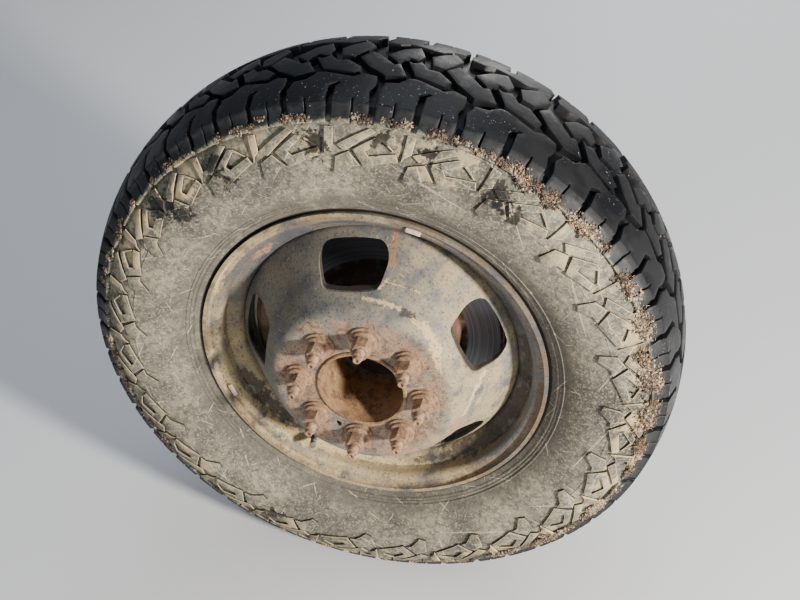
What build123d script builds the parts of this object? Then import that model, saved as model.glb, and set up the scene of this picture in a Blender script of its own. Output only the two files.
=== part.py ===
from build123d import *
import math
import os

# Front wheel end of a four wheel drive truck axle, in millimetres.
# X is forward, Y runs along the axle towards the vehicle, Z is up.
# Each piece is drawn about the middle of the wheel, then moved so that the
# origin is the centre of the axle tube's inboard end.

# Fits and running gaps
SLIP_FIT = 0.3            # between curved faces that turn in each other
SEAT_GAP = 0.3            # between the tyre and the rim
SNUG_FIT = 0.1            # between a stud or pin and its own hole
PAD_GAP = 0.5             # between a brake pad and the disc it grips
RUN_GAP = 5.0             # between pieces that move past each other

# Rim, a 17 by 6 inch drop centre
BEAD_SEAT_R = 218.3
RIM_WIDTH = 152.4
FLANGE_HEIGHT = 17.5
FLANGE_LIP = 12.5
FLANGE_CURL_R = 9.5
RIM_WALL = 5.0
BEAD_SEAT_WIDTH = 20.0
BEAD_TAPER = 1.7
HEEL_R = 6.0
WELL_DEPTH = 22.3
WELL_START = -46.0
WELL_END = -6.0
WELL_RAMP_IN = 36.0

# Wheel disc, dished outwards
WHEEL_OFFSET = 131.0      # mounting face, outboard of the middle of the rim
DISC_WALL = 8.0
DISC_BORE_LAND = 21.9     # from the wheel's bore out to the stud circle
DISC_FLAT_R = 121.0
DISC_SKIRT_LENGTH = 20.0
DISC_BEND_R = 20.0
DISC_FOOT_R = 12.0
HAND_HOLES = 5
HAND_HOLE_PHASE = 98.3
HAND_HOLE_INNER_R = 137.5
HAND_HOLE_OUTER_R = 181.7
HAND_HOLE_INNER_HALF_WIDTH = 37.0
HAND_HOLE_SPREAD = 24.5   # degrees that each side leans away from the radius
HAND_HOLE_INNER_CORNER_R = 9.0
HAND_HOLE_OUTER_CORNER_R = 18.0
LOCATING_HOLE_R = 4.5
LOCATING_HOLE_INSET = 6.55  # inside the stud circle
LOCATING_HOLE_ANGLE = -116.0

# Wheel studs and nuts
STUDS = 8
STUD_CIRCLE_R = 82.55
STUD_PHASE = 86.1
STUD_R = 7.0
STUD_TIP_R = 5.0
STUD_TIP_LENGTH = 6.0
STUD_REACH = 51.0         # from the wheel's mounting face to the stud's tip
STUD_HEAD_R = 11.0
STUD_HEAD_THICK = 6.0
WASHER_R = 20.0
WASHER_THICK = 3.3
NUT_FOOT_R = 16.5
NUT_FOOT_THICK = 5.0
NUT_ACROSS_FLATS = 22.0
NUT_HEX_HEIGHT = 19.0

# Tyre, 235 wide and 80 percent high
TYRE_R = 403.9
TYRE_WIDTH = 235.0
TYRE_WIDEST_R = 320.0
TREAD_HALF_WIDTH = 88.0
SHOULDER_R = 388.0
TREAD_WALL = 20.0
SIDEWALL = 9.0
SHOULDER_WALL = 24.0
SHOULDER_WALL_IN = 14.0
SHOULDER_BEVEL = 8.0
SHOULDER_BEVEL_OUT = 3.0
BEAD_WIDTH = 17.0
BEAD_TOP_R = 240.0
BEAD_LEAN = 6.0
FLANGE_LEAVE_UP = 1.5     # where the sidewall comes away from the flange's lip
FLANGE_LEAVE_OUT = 6.5
FLANGE_TOUCH_ANGLE = 60.0

# Tread grooves. The pitches differ in length round the tyre to keep it quiet, so one
# is drawn 15 degrees long and stretched to each real one.
DRAWN_PITCH = 15.0
FIRST_PITCH_ANGLE = 9.8
MIXED_PITCHES = (15.0, 14.9, 17.0, 16.9, 15.3, 16.1, 14.0, 12.3, 13.3, 13.0, 14.5, 15.0)
EVEN_PITCHES = 12
GROOVE_DEPTH = 11.0
GROOVE_TURN = 12.5        # degrees; the inner half of a pitch is the outer half turned
SHOULDER_GROOVE_END_R = 366.0
SHOULDER_GROOVE_END_Y = 106.0
# Shoulder grooves: degrees along the pitch, start from the tyre's middle, width
SHOULDER_GROOVES = (
    (0.0, 44.0, 9.0),
    (7.6, 60.0, 8.0),
)
# Grooves between the block rows: degrees and place across at each end, width
ROW_GROOVES = (
    (0.0, -49.0, 4.6, -37.0, 6.0),
    (4.6, -37.0, 15.0, -49.0, 6.0),
)
# The zigzag along the middle, in the same columns
MIDDLE_GROOVES = (
    (-3.2, 12.0, 1.3, -14.0, 6.0),
    (1.3, -14.0, 11.8, 12.0, 6.0),
)

# Hub extension, a spool between the hub and the wheel
EXTENSION_LENGTH = 81.0
EXTENSION_PILOT_WALL = 4.35
EXTENSION_BARREL_WALL = 10.0
EXTENSION_FLANGE_RIM = 19.45  # from the stud circle out to the flange's edge
EXTENSION_OUTER_FLANGE = 17.0
EXTENSION_INNER_FLANGE = 13.0
EXTENSION_PILOT_PROUD = 3.0
EXTENSION_PILOT_CHAMFER = 1.5
EXTENSION_STUD_REACH = 40.0
EXTENSION_NUT_HEIGHT = 15.0
EXTENSION_FILLET_R = 6.0

# Brake disc, vented
ROTOR_EDGE_GAP = 3.0      # between the ring's edge and the caliper's bridge
ROTOR_THICK = 38.0
ROTOR_CHEEK = 12.0
ROTOR_STEP = 38.0         # from the hat's outer face to the ring's outer face
HAT_WALL = 8.0
HAT_GAP = 4.0             # between the hub flange's edge and the hat
ROTOR_VANES = 32
ROTOR_VANE_THICK = 7.0
ROTOR_VANE_INSET = 3.0

# Hub
HUB_FLANGE_RIM = 14.45    # from the stud circle out to the flange's edge
HUB_FLANGE_THICK = 16.0
HUB_PILOT_R = 62.0
HUB_SPINDLE_R = 44.0
HUB_SPLINE_R = 22.0
HUB_RECESS_R = 50.0
HUB_RECESS_DEPTH = 14.0
HUB_SPINDLE_LENGTH = 73.0
HUB_ROOT = 4.0

# Bearing unit in the knuckle
BEARING_R = 62.0
BEARING_FLANGE_R = 86.0
BEARING_FLANGE_THICK = 10.0
BEARING_NOSE = 12.0
BEARING_NOSE_WALL = 4.0   # how far the nose is wider than the spigot
BEARING_BORE_PROUD = 12.0  # how far the knuckle's bore runs on behind its plate
KNUCKLE_FACE = 52.0       # from the hub face to the knuckle's outer face

# Knuckle
KNUCKLE_RING_R = 76.0
KNUCKLE_RING_LENGTH = 36.0
KNUCKLE_PLATE_SETBACK = 31.0
KNUCKLE_PLATE_THICK = 16.0
KNUCKLE_ARM_HALF_WIDTH = 30.0
KNUCKLE_ARM_ROOT = 12.0   # how far each arm laps the bearing's edge
KNUCKLE_ARM_NECK = 8.0    # how far an arm thickens towards its lug
KNUCKLE_ARM_RISE = 4.0    # how far an arm stands proud of its lug at the back
KNUCKLE_ARM_FALL = 6.0    # and how far it falls short at the front
KNUCKLE_ARM_HEEL = 16.0   # the same at the foot of the lower arm
KNUCKLE_EAR_GAP = 4.0     # between the caliper ear and the caliper's housing
KNUCKLE_EAR_HALF_ANGLE = 38.0
KNUCKLE_LUG_THICK = 28.0
STEERING_ARM_REACH = 165.0
STEERING_ARM_THICK = 28.0
STEERING_ARM_ROOT = 20.0  # how far the arm runs into the knuckle's ring
STEERING_ARM_FLARE = 14.0
STEERING_ARM_BEND = 6.0
STEERING_EYE_SETBACK = 12.0  # behind the kingpin line
STEERING_EYE_TANGENTS = (248.7, 140.5)  # where the arm's edges meet the eye, degrees
STEERING_EYE_R = 22.0
STEERING_EYE_BORE_R = 9.5

# Kingpin line through the two ball joints
KINGPIN_SETBACK = 147.0   # from the hub face to the kingpin line
KINGPIN_INCLINATION = 8.5
CASTER = 4.0
UPPER_BALL = 80.0
LOWER_BALL = -118.0
BALL_R = 17.0
BALL_HOUSING_R = 26.0
BALL_HOUSING_PROUD = 6.0  # below the knuckle's lug
BALL_MOUTH_GAP = 3.0      # round the stud
BALL_STUD_R = 11.0
BALL_STUD_PROUD = 4.0     # past its nut
BALL_NUT_R = 16.0
SPOT_FACE_R = 24.0
BALL_NUT_HEIGHT = 14.0
LUG_WALL = 10.0
BOOT_GAP = 10.0
BOOT_WALL = 9.0

# Yoke and axle tube
YOKE_LUG_THICK = 26.0
YOKE_LUG_R = 31.0
YOKE_HALF_WIDTH = 26.0
YOKE_MOUTH = 53.0         # from the kingpin line to the yoke's inner wall
YOKE_BACK = 108.0         # from the kingpin line to the socket's end
YOKE_SOCKET_R = 52.0
YOKE_SOCKET_LAP = 6.0     # how far the socket starts inside the yoke's wall
YOKE_SOCKET_SHOULDER = 8.0
YOKE_SOCKET_STEP = 2.0
YOKE_TIP = 6.0            # where the lugs start to slope away
YOKE_UPPER_CORNER = 12.0
YOKE_LOWER_CORNER = 18.0
YOKE_LOWER_CORNER_RUN = 10.0
YOKE_UPPER_HEEL = 18.0
YOKE_UPPER_WAIST = 34.0
YOKE_UPPER_WAIST_DROP = 16.0
YOKE_LOWER_HEEL = 24.0
YOKE_LOWER_HEEL_RISE = 4.0
TUBE_R = 41.25
TUBE_WALL = 9.5
TUBE_SEAT = 30.0
TUBE_SEAT_STEP = 1.25     # how much the tube is turned down where it enters the yoke
TUBE_EXPOSED = 125.0

# Brake caliper, pads and their bracket, behind the axle
CALIPER_ANGLE = 180.0
CALIPER_HALF_ANGLE = 24.0
PAD_FROM_HAT = 5.0
PAD_INSET = 3.0           # inside the edge of the brake disc
PAD_PLATE_PROUD = 2.0     # degrees of backing plate past each end of the lining
PAD_LINING = 12.0
PAD_BACKING = 6.0
CALIPER_FINGER = 11.0
CALIPER_HOUSING = 44.0
CALIPER_OVERLAP = 6.0     # how far the housing reaches in past the pads
CALIPER_NOSE_INSET = 12.0
CALIPER_EDGE = 10.0
CALIPER_BRIDGE_WALL = 10.0
CALIPER_WINDOW_HALF_ANGLE = 8.0
CALIPER_WINDOW_MARGIN = 14.0
CALIPER_EAR_THICK = 14.0
CALIPER_EAR_HALF_WIDTH = 12.0
CALIPER_EAR_SPAN = 4.0    # degrees past the slide pin and into the housing
PISTON_R = 25.0
PISTON_SPREAD = 11.5
PISTON_OUT = 6.0
PISTON_BORE_DEPTH = 30.0
PISTON_FIT = 1.0
BRACKET_LAP = 20.0        # how far the bracket lies over the knuckle's ear
BRACKET_THICK = 12.0
BRACKET_LEG_INNER = 27.5
BRACKET_LEG_OUTER = 40.0
SLIDE_PIN_R = 6.0
SLIDE_PIN_INSET = 15.0    # inside the edge of the brake disc
SLIDE_PIN_ANGLE = 33.0
SLIDE_PIN_LENGTH = 44.0
HOSE_PORT_R = 5.0
HOSE_PORT_DEPTH = 12.0
SHIELD_THICK = 2.0
SHIELD_PROUD = 7.0        # past the edge of the brake disc
SHIELD_CUT_HALF_ANGLE = 44.0

# Valve stem and balance weights
VALVE_ANGLE = -118.0
VALVE_R = 4.5
VALVE_LENGTH = 42.0
WEIGHT_ANGLES = (74.0, 204.0)
WEIGHT_HALF_ANGLE = 5.0
WEIGHT_THICK = 6.0
WEIGHT_HEIGHT = 10.0

# Radii inside the rim's well, from the well inwards
WELL_R = BEAD_SEAT_R - WELL_DEPTH
WELL_INNER_R = WELL_R - RIM_WALL
SKIRT_INNER_R = WELL_INNER_R - DISC_WALL
CALIPER_OUTER_R = SKIRT_INNER_R - RUN_GAP
BRIDGE_INNER_R = CALIPER_OUTER_R - CALIPER_BRIDGE_WALL
ROTOR_R = BRIDGE_INNER_R - ROTOR_EDGE_GAP
SHIELD_R = ROTOR_R + SHIELD_PROUD
SLIDE_PIN_CIRCLE_R = ROTOR_R - SLIDE_PIN_INSET

# Radii that follow from the stud circle and the brake disc
DISC_BORE_R = STUD_CIRCLE_R - DISC_BORE_LAND
LOCATING_HOLE_CIRCLE_R = STUD_CIRCLE_R - LOCATING_HOLE_INSET
EXTENSION_PILOT_R = DISC_BORE_R - SLIP_FIT
EXTENSION_BORE_R = EXTENSION_PILOT_R - EXTENSION_PILOT_WALL
EXTENSION_BARREL_R = EXTENSION_BORE_R + EXTENSION_BARREL_WALL
EXTENSION_FLANGE_R = STUD_CIRCLE_R + EXTENSION_FLANGE_RIM
HUB_FLANGE_R = STUD_CIRCLE_R + HUB_FLANGE_RIM
HAT_R = HUB_FLANGE_R + HAT_GAP + HAT_WALL
PAD_INNER_R = HAT_R + PAD_FROM_HAT
PAD_OUTER_R = ROTOR_R - PAD_INSET
PAD_MIDDLE_R = (PAD_INNER_R + PAD_OUTER_R) / 2
CALIPER_INNER_R = PAD_INNER_R - CALIPER_OVERLAP
KNUCKLE_EAR_R = CALIPER_INNER_R - KNUCKLE_EAR_GAP
BRACKET_INNER_R = KNUCKLE_EAR_R - BRACKET_LAP

# Places along Y that follow from the sizes above, from the middle of the wheel
MOUNT_FACE = -WHEEL_OFFSET
DISC_FACE = MOUNT_FACE - DISC_WALL
HAT_FACE = MOUNT_FACE + EXTENSION_LENGTH
HUB_FACE = HAT_FACE + HAT_WALL
HUB_BACK = HUB_FACE + HUB_FLANGE_THICK
ROTOR_FACE = HAT_FACE + ROTOR_STEP
ROTOR_BACK = ROTOR_FACE + ROTOR_THICK
KNUCKLE_FRONT = HAT_FACE + KNUCKLE_FACE
PLATE_FRONT = KNUCKLE_FRONT + KNUCKLE_PLATE_SETBACK
PLATE_BACK = PLATE_FRONT + KNUCKLE_PLATE_THICK
KINGPIN_Y = HAT_FACE + KINGPIN_SETBACK
YOKE_FRONT = KINGPIN_Y + YOKE_MOUTH
YOKE_END = KINGPIN_Y + YOKE_BACK
TUBE_END = YOKE_END + TUBE_EXPOSED
RIM_HALF = RIM_WIDTH / 2
FLANGE_R = BEAD_SEAT_R + FLANGE_HEIGHT
FLANGE_FACE = -RIM_HALF - FLANGE_LIP
KNUCKLE_LUG_R = BALL_HOUSING_R + LUG_WALL
PAD_BACK_OUT = ROTOR_FACE - PAD_GAP - PAD_LINING - PAD_BACKING
PAD_BACK_IN = ROTOR_BACK + PAD_GAP + PAD_LINING + PAD_BACKING
HOUSING_FRONT = PAD_BACK_IN + PISTON_OUT
HOUSING_BACK = HOUSING_FRONT + CALIPER_HOUSING

# The kingpin line leans in at the top and back at the top
KINGPIN_DIRECTION = Vector(
    -math.tan(math.radians(CASTER)), math.tan(math.radians(KINGPIN_INCLINATION)), 1
).normalized()
KINGPIN = Plane(
    origin=(0, KINGPIN_Y, 0),
    x_dir=Vector(0, 1, 0).cross(KINGPIN_DIRECTION),
    z_dir=KINGPIN_DIRECTION,
)


def front_plane(y):
    """The upright plane at y, with X to the right and Z up as seen from outside."""
    return Plane.XZ.offset(-y)


def turned(piece, angle):
    """Turns a piece about the wheel axis, counter-clockwise as seen from outside."""
    return Rot(0, -angle, 0) * piece


def revolved(points):
    """A full ring about the wheel axis from (radius, y) corners."""
    return revolve(make_face(Polyline(*points, close=True)), Axis.Y)


def sector(points, start, end):
    """Part of a ring between two angles, from (radius, y) corners."""
    face = make_face(Polyline(*points, close=True))
    return turned(revolve(face, Axis.Y, revolution_arc=end - start), end)


def rectangle_section(inner_r, outer_r, y_low, y_high):
    return [(inner_r, y_low), (outer_r, y_low), (outer_r, y_high), (inner_r, y_high)]


def ring(inner_r, outer_r, y_low, y_high):
    return revolved(rectangle_section(inner_r, outer_r, y_low, y_high))


def rod(radius, y_low, y_high, circle_r=0.0, angle=0.0):
    """A round bar along Y, at an angle on a circle about the wheel axis."""
    bar = Pos(circle_r, (y_low + y_high) / 2, 0) * Rot(90, 0, 0) * Cylinder(radius, y_high - y_low)
    return turned(bar, angle)


def slab(face, y_low, y_high):
    """A flat shape seen from outside, made solid between two places along Y."""
    return extrude(front_plane(y_high) * face, y_high - y_low)


def around(count, phase):
    """The angles of evenly spaced copies."""
    return [phase + i * 360 / count for i in range(count)]


def on_kingpin(piece):
    return KINGPIN.location * piece


def kingpin_rod(radius, low, high):
    """A round bar along the kingpin line."""
    return on_kingpin(Pos(0, 0, (low + high) / 2) * Cylinder(radius, high - low))


def side_plate(points, half_width):
    """A shape drawn as (y, z) corners, made solid across X."""
    face = Plane.YZ * make_face(Polyline(*points, close=True))
    return extrude(face, half_width, both=True)


def bead_seat_r(y):
    """The radius of the seat, which falls away from the flange."""
    share = (RIM_HALF - abs(y)) / BEAD_SEAT_WIDTH
    return BEAD_SEAT_R - BEAD_TAPER * share


def wheel_rim():
    seat_edge = RIM_HALF - BEAD_SEAT_WIDTH
    route = [
        (FLANGE_R, FLANGE_FACE),
        (FLANGE_R, -RIM_HALF),
        (BEAD_SEAT_R, -RIM_HALF),
        (bead_seat_r(seat_edge), -seat_edge),
        (WELL_R, WELL_START),
        (WELL_R, WELL_END),
        (bead_seat_r(seat_edge), WELL_END + WELL_RAMP_IN),
        (bead_seat_r(seat_edge), seat_edge),
        (BEAD_SEAT_R, RIM_HALF),
        (FLANGE_R, RIM_HALF),
        (FLANGE_R, -FLANGE_FACE),
    ]
    bends = [FLANGE_CURL_R, HEEL_R, 6.0, 8.0, 12.0, 20.0, 20.0, HEEL_R, FLANGE_CURL_R]
    line = FilletPolyline(*route, radius=bends)
    wall = offset(line, RIM_WALL, side=Side.LEFT)
    return revolve(make_face(wall.edges()), Axis.Y)


def hand_hole():
    """The rounded window, wider away from the hub, seen from outside, on the X axis."""
    spread = math.tan(math.radians(HAND_HOLE_SPREAD))
    half = HAND_HOLE_INNER_HALF_WIDTH
    outer_half = half + spread * (HAND_HOLE_OUTER_R - HAND_HOLE_INNER_R)
    funnel = make_face(
        Polyline(
            (HAND_HOLE_INNER_R, -half),
            (HAND_HOLE_OUTER_R, -outer_half),
            (HAND_HOLE_OUTER_R, outer_half),
            (HAND_HOLE_INNER_R, half),
            close=True,
        )
    )
    window = Circle(HAND_HOLE_OUTER_R) & funnel
    window = fillet(window.vertices().sort_by(Axis.X)[:2], HAND_HOLE_INNER_CORNER_R)
    return fillet(window.vertices().sort_by(Axis.X)[-2:], HAND_HOLE_OUTER_CORNER_R)


def wheel_disc():
    skirt_end = WELL_START + DISC_SKIRT_LENGTH
    route = [
        (DISC_BORE_R, DISC_FACE),
        (DISC_FLAT_R, DISC_FACE),
        (WELL_INNER_R, WELL_START),
        (WELL_INNER_R, skirt_end),
    ]
    line = FilletPolyline(*route, radius=[DISC_BEND_R, DISC_FOOT_R])
    wall = offset(line, DISC_WALL, side=Side.LEFT)
    disc = revolve(make_face(wall.edges()), Axis.Y)
    for angle in around(HAND_HOLES, HAND_HOLE_PHASE):
        disc -= turned(slab(hand_hole(), DISC_FACE - 1, skirt_end), angle)
    for angle in around(STUDS, STUD_PHASE):
        disc -= rod(STUD_R + SLIP_FIT, DISC_FACE - 1, MOUNT_FACE + 1, STUD_CIRCLE_R, angle)
    disc -= rod(
        LOCATING_HOLE_R, DISC_FACE - 1, MOUNT_FACE + 1, LOCATING_HOLE_CIRCLE_R, LOCATING_HOLE_ANGLE
    )
    return disc


def tyre():
    heel = RIM_HALF - SEAT_GAP
    toe = heel - BEAD_WIDTH
    heel_r = BEAD_SEAT_R + SEAT_GAP
    toe_r = bead_seat_r(toe) + SEAT_GAP
    widest = TYRE_WIDTH / 2
    leave_r = FLANGE_R + FLANGE_LEAVE_UP
    leave_y = heel + FLANGE_LEAVE_OUT
    shoulder_foot = (SHOULDER_R - SHOULDER_BEVEL, TREAD_HALF_WIDTH + SHOULDER_BEVEL_OUT)
    bead_top = (BEAD_TOP_R, toe + BEAD_LEAN)
    inner_widest = widest - SIDEWALL
    curl_r = FLANGE_R - FLANGE_CURL_R

    def on_curl(angle):
        reach = FLANGE_CURL_R + SEAT_GAP
        turn = math.radians(angle)
        return (curl_r + reach * math.sin(turn), heel + reach - reach * math.cos(turn))

    inner_crown_r = TYRE_R - TREAD_WALL
    inner_shoulder = (SHOULDER_R - SHOULDER_WALL, TREAD_HALF_WIDTH - SHOULDER_WALL_IN)
    half = [
        Line((toe_r, toe), (heel_r, heel - HEEL_R - 1)),
        Line((heel_r, heel - HEEL_R - 1), (heel_r + HEEL_R + 1, heel)),
        Line((heel_r + HEEL_R + 1, heel), (curl_r, heel)),
        ThreePointArc((curl_r, heel), on_curl(FLANGE_TOUCH_ANGLE / 2), on_curl(FLANGE_TOUCH_ANGLE)),
        Line(on_curl(FLANGE_TOUCH_ANGLE), (leave_r, leave_y)),
        TangentArc((TYRE_WIDEST_R, widest), (leave_r, leave_y), tangent=(-1, 0)),
        TangentArc((TYRE_WIDEST_R, widest), shoulder_foot, tangent=(1, 0)),
        Line(shoulder_foot, (SHOULDER_R, TREAD_HALF_WIDTH)),
    ]
    inner_half = [
        Line((toe_r, toe), bead_top),
        TangentArc((TYRE_WIDEST_R, inner_widest), bead_top, tangent=(-1, 0)),
        TangentArc((TYRE_WIDEST_R, inner_widest), inner_shoulder, tangent=(1, 0)),
    ]
    other = [mirror(edge, Plane.XZ) for edge in half + inner_half]
    crown = ThreePointArc((SHOULDER_R, -TREAD_HALF_WIDTH), (TYRE_R, 0), (SHOULDER_R, TREAD_HALF_WIDTH))
    inner_crown = ThreePointArc(
        (inner_shoulder[0], -inner_shoulder[1]), (inner_crown_r, 0), inner_shoulder
    )
    edges = half + inner_half + other + [crown, inner_crown]
    face = make_face([e for curve in edges for e in curve.edges()])
    return revolve(face, Axis.Y) - tread_grooves()


def crown_r(y):
    """The radius of the tread at a place across the tyre."""
    drop = TYRE_R - SHOULDER_R
    arc_r = (TREAD_HALF_WIDTH**2 + drop**2) / (2 * drop)
    return TYRE_R - arc_r + math.sqrt(arc_r**2 - y**2)


def groove(start, end, width):
    """A straight cut, open outwards, whose floor runs between two (radius, angle, y) points."""
    floor = [
        Vector(r * math.cos(math.radians(angle)), y, r * math.sin(math.radians(angle)))
        for r, angle, y in (start, end)
    ]
    middle = (floor[0] + floor[1]) / 2
    along = (floor[1] - floor[0]).normalized()
    radial = Vector(middle.X, 0, middle.Z)
    outward = (radial - along * radial.dot(along)).normalized()
    length = (floor[1] - floor[0]).length + width
    height = 3 * GROOVE_DEPTH
    place = Plane(origin=middle, x_dir=along, z_dir=outward)
    return place * (Pos(0, 0, height / 2) * Box(length, width, height))


def tread_grooves():
    """Every groove of the tread, pitch by pitch."""
    even = (360 - sum(MIXED_PITCHES)) / EVEN_PITCHES
    edge = FIRST_PITCH_ANGLE
    cuts = []
    for pitch in MIXED_PITCHES + (even,) * EVEN_PITCHES:
        edge += pitch
        stretch = pitch / DRAWN_PITCH
        for along, start_y, width in SHOULDER_GROOVES:
            for side, drawn in ((-1, along), (1, GROOVE_TURN - along)):
                angle = edge - drawn * stretch
                start = (crown_r(start_y) - GROOVE_DEPTH, angle, side * start_y)
                end = (SHOULDER_GROOVE_END_R, angle, side * SHOULDER_GROOVE_END_Y)
                cuts.append(groove(start, end, width))
        rows = [(u, y, v, z, width) for u, y, v, z, width in ROW_GROOVES + MIDDLE_GROOVES]
        rows += [(GROOVE_TURN - u, -y, GROOVE_TURN - v, -z, width) for u, y, v, z, width in ROW_GROOVES]
        for u, y, v, z, width in rows:
            start = (crown_r(y) - GROOVE_DEPTH, edge - u * stretch, y)
            end = (crown_r(z) - GROOVE_DEPTH, edge - v * stretch, z)
            cuts.append(groove(start, end, width))
    return cuts


def hub_extension():
    outer_back = MOUNT_FACE + EXTENSION_OUTER_FLANGE
    inner_front = HAT_FACE - EXTENSION_INNER_FLANGE
    pilot_face = DISC_FACE - EXTENSION_PILOT_PROUD
    spool = revolved(
        [
            (EXTENSION_BORE_R, pilot_face),
            (EXTENSION_PILOT_R - EXTENSION_PILOT_CHAMFER, pilot_face),
            (EXTENSION_PILOT_R, pilot_face + EXTENSION_PILOT_CHAMFER),
            (EXTENSION_PILOT_R, MOUNT_FACE),
            (EXTENSION_FLANGE_R, MOUNT_FACE),
            (EXTENSION_FLANGE_R, outer_back),
            (EXTENSION_BARREL_R + EXTENSION_FILLET_R, outer_back),
            (EXTENSION_BARREL_R, outer_back + EXTENSION_FILLET_R),
            (EXTENSION_BARREL_R, inner_front - EXTENSION_FILLET_R),
            (EXTENSION_BARREL_R + EXTENSION_FILLET_R / 2, inner_front),
            (EXTENSION_FLANGE_R, inner_front),
            (EXTENSION_FLANGE_R, HAT_FACE),
            (EXTENSION_BORE_R, HAT_FACE),
        ]
    )
    for angle in around(STUDS, STUD_PHASE):
        spool -= rod(STUD_R + SNUG_FIT, MOUNT_FACE - 1, outer_back + 1, STUD_CIRCLE_R, angle)
    for angle in around(STUDS, STUD_PHASE + 180 / STUDS):
        spool -= rod(STUD_R + SNUG_FIT, inner_front - 1, HAT_FACE + 1, STUD_CIRCLE_R, angle)
    return spool


def hexagon_along_y(across_flats, y_low, y_high, circle_r, angle):
    face = Pos(circle_r, 0) * RegularPolygon(across_flats / 2, 6, major_radius=False)
    return turned(slab(face, y_low, y_high), angle)


def wheel_studs():
    back = MOUNT_FACE + EXTENSION_OUTER_FLANGE
    tip = MOUNT_FACE - STUD_REACH
    studs = []
    for angle in around(STUDS, STUD_PHASE):
        stud = rod(STUD_R, tip + STUD_TIP_LENGTH, back, STUD_CIRCLE_R, angle)
        stud += rod(STUD_TIP_R, tip, tip + STUD_TIP_LENGTH, STUD_CIRCLE_R, angle)
        stud += rod(STUD_HEAD_R, back, back + STUD_HEAD_THICK, STUD_CIRCLE_R, angle)
        studs.append(stud)
    return studs


def lug_nuts():
    foot = DISC_FACE - WASHER_THICK
    hex_base = foot - NUT_FOOT_THICK
    nuts = []
    for angle in around(STUDS, STUD_PHASE):
        nut = rod(NUT_FOOT_R, hex_base, foot, STUD_CIRCLE_R, angle)
        nut += hexagon_along_y(
            NUT_ACROSS_FLATS, hex_base - NUT_HEX_HEIGHT, hex_base, STUD_CIRCLE_R, angle
        )
        nut -= rod(STUD_R + SNUG_FIT, hex_base - NUT_HEX_HEIGHT - 1, foot + 1, STUD_CIRCLE_R, angle)
        nuts.append(nut)
    return nuts


def nut_washers():
    washers = []
    for angle in around(STUDS, STUD_PHASE):
        washer = rod(WASHER_R, DISC_FACE - WASHER_THICK, DISC_FACE, STUD_CIRCLE_R, angle)
        washer -= rod(STUD_R + SLIP_FIT, DISC_FACE - WASHER_THICK - 1, DISC_FACE + 1, STUD_CIRCLE_R, angle)
        washers.append(washer)
    return washers


def hub_studs():
    tip = HUB_BACK - EXTENSION_STUD_REACH - HUB_FLANGE_THICK
    studs = []
    for angle in around(STUDS, STUD_PHASE + 180 / STUDS):
        studs.append(rod(STUD_R, tip, HUB_BACK, STUD_CIRCLE_R, angle))
    return studs


def extension_nuts():
    foot = HAT_FACE - EXTENSION_INNER_FLANGE
    nuts = []
    for angle in around(STUDS, STUD_PHASE + 180 / STUDS):
        nut = hexagon_along_y(
            NUT_ACROSS_FLATS, foot - EXTENSION_NUT_HEIGHT, foot, STUD_CIRCLE_R, angle
        )
        nut -= rod(STUD_R + SNUG_FIT, foot - EXTENSION_NUT_HEIGHT - 1, foot + 1, STUD_CIRCLE_R, angle)
        nuts.append(nut)
    return nuts


def wheel_hub():
    spindle_end = HUB_BACK + HUB_SPINDLE_LENGTH
    hub = revolved(
        [
            (HUB_SPLINE_R, HUB_FACE + HUB_RECESS_DEPTH),
            (HUB_RECESS_R, HUB_FACE + HUB_RECESS_DEPTH),
            (HUB_RECESS_R, HAT_FACE),
            (HUB_PILOT_R, HAT_FACE),
            (HUB_PILOT_R, HUB_FACE),
            (HUB_FLANGE_R, HUB_FACE),
            (HUB_FLANGE_R, HUB_BACK),
            (HUB_SPINDLE_R + HUB_ROOT, HUB_BACK),
            (HUB_SPINDLE_R, HUB_BACK + HUB_ROOT),
            (HUB_SPINDLE_R, spindle_end),
            (HUB_SPLINE_R, spindle_end),
        ]
    )
    for angle in around(STUDS, STUD_PHASE + 180 / STUDS):
        hub -= rod(STUD_R + SNUG_FIT, HUB_FACE - 1, HUB_BACK + 1, STUD_CIRCLE_R, angle)
    return hub


def brake_rotor():
    cheek_back = ROTOR_FACE + ROTOR_CHEEK
    inner_cheek = ROTOR_BACK - ROTOR_CHEEK
    rotor = revolved(
        [
            (HUB_PILOT_R + SLIP_FIT, HAT_FACE),
            (HAT_R, HAT_FACE),
            (HAT_R, ROTOR_FACE),
            (ROTOR_R, ROTOR_FACE),
            (ROTOR_R, cheek_back),
            (HAT_R - HAT_WALL, cheek_back),
            (HAT_R - HAT_WALL, HUB_FACE),
            (HUB_PILOT_R + SLIP_FIT, HUB_FACE),
        ]
    )
    rotor += ring(HAT_R, ROTOR_R, inner_cheek, ROTOR_BACK)
    vane_inner = HAT_R + ROTOR_VANE_INSET
    vane_outer = ROTOR_R - ROTOR_VANE_INSET
    middle = (cheek_back + inner_cheek) / 2
    vane = Pos((vane_inner + vane_outer) / 2, middle, 0) * Box(
        vane_outer - vane_inner, inner_cheek - cheek_back, ROTOR_VANE_THICK
    )
    for angle in around(ROTOR_VANES, 0):
        rotor += turned(vane, angle)
    for angle in around(STUDS, STUD_PHASE + 180 / STUDS):
        rotor -= rod(STUD_R + SLIP_FIT, HAT_FACE - 1, HUB_FACE + 1, STUD_CIRCLE_R, angle)
    return rotor


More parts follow.
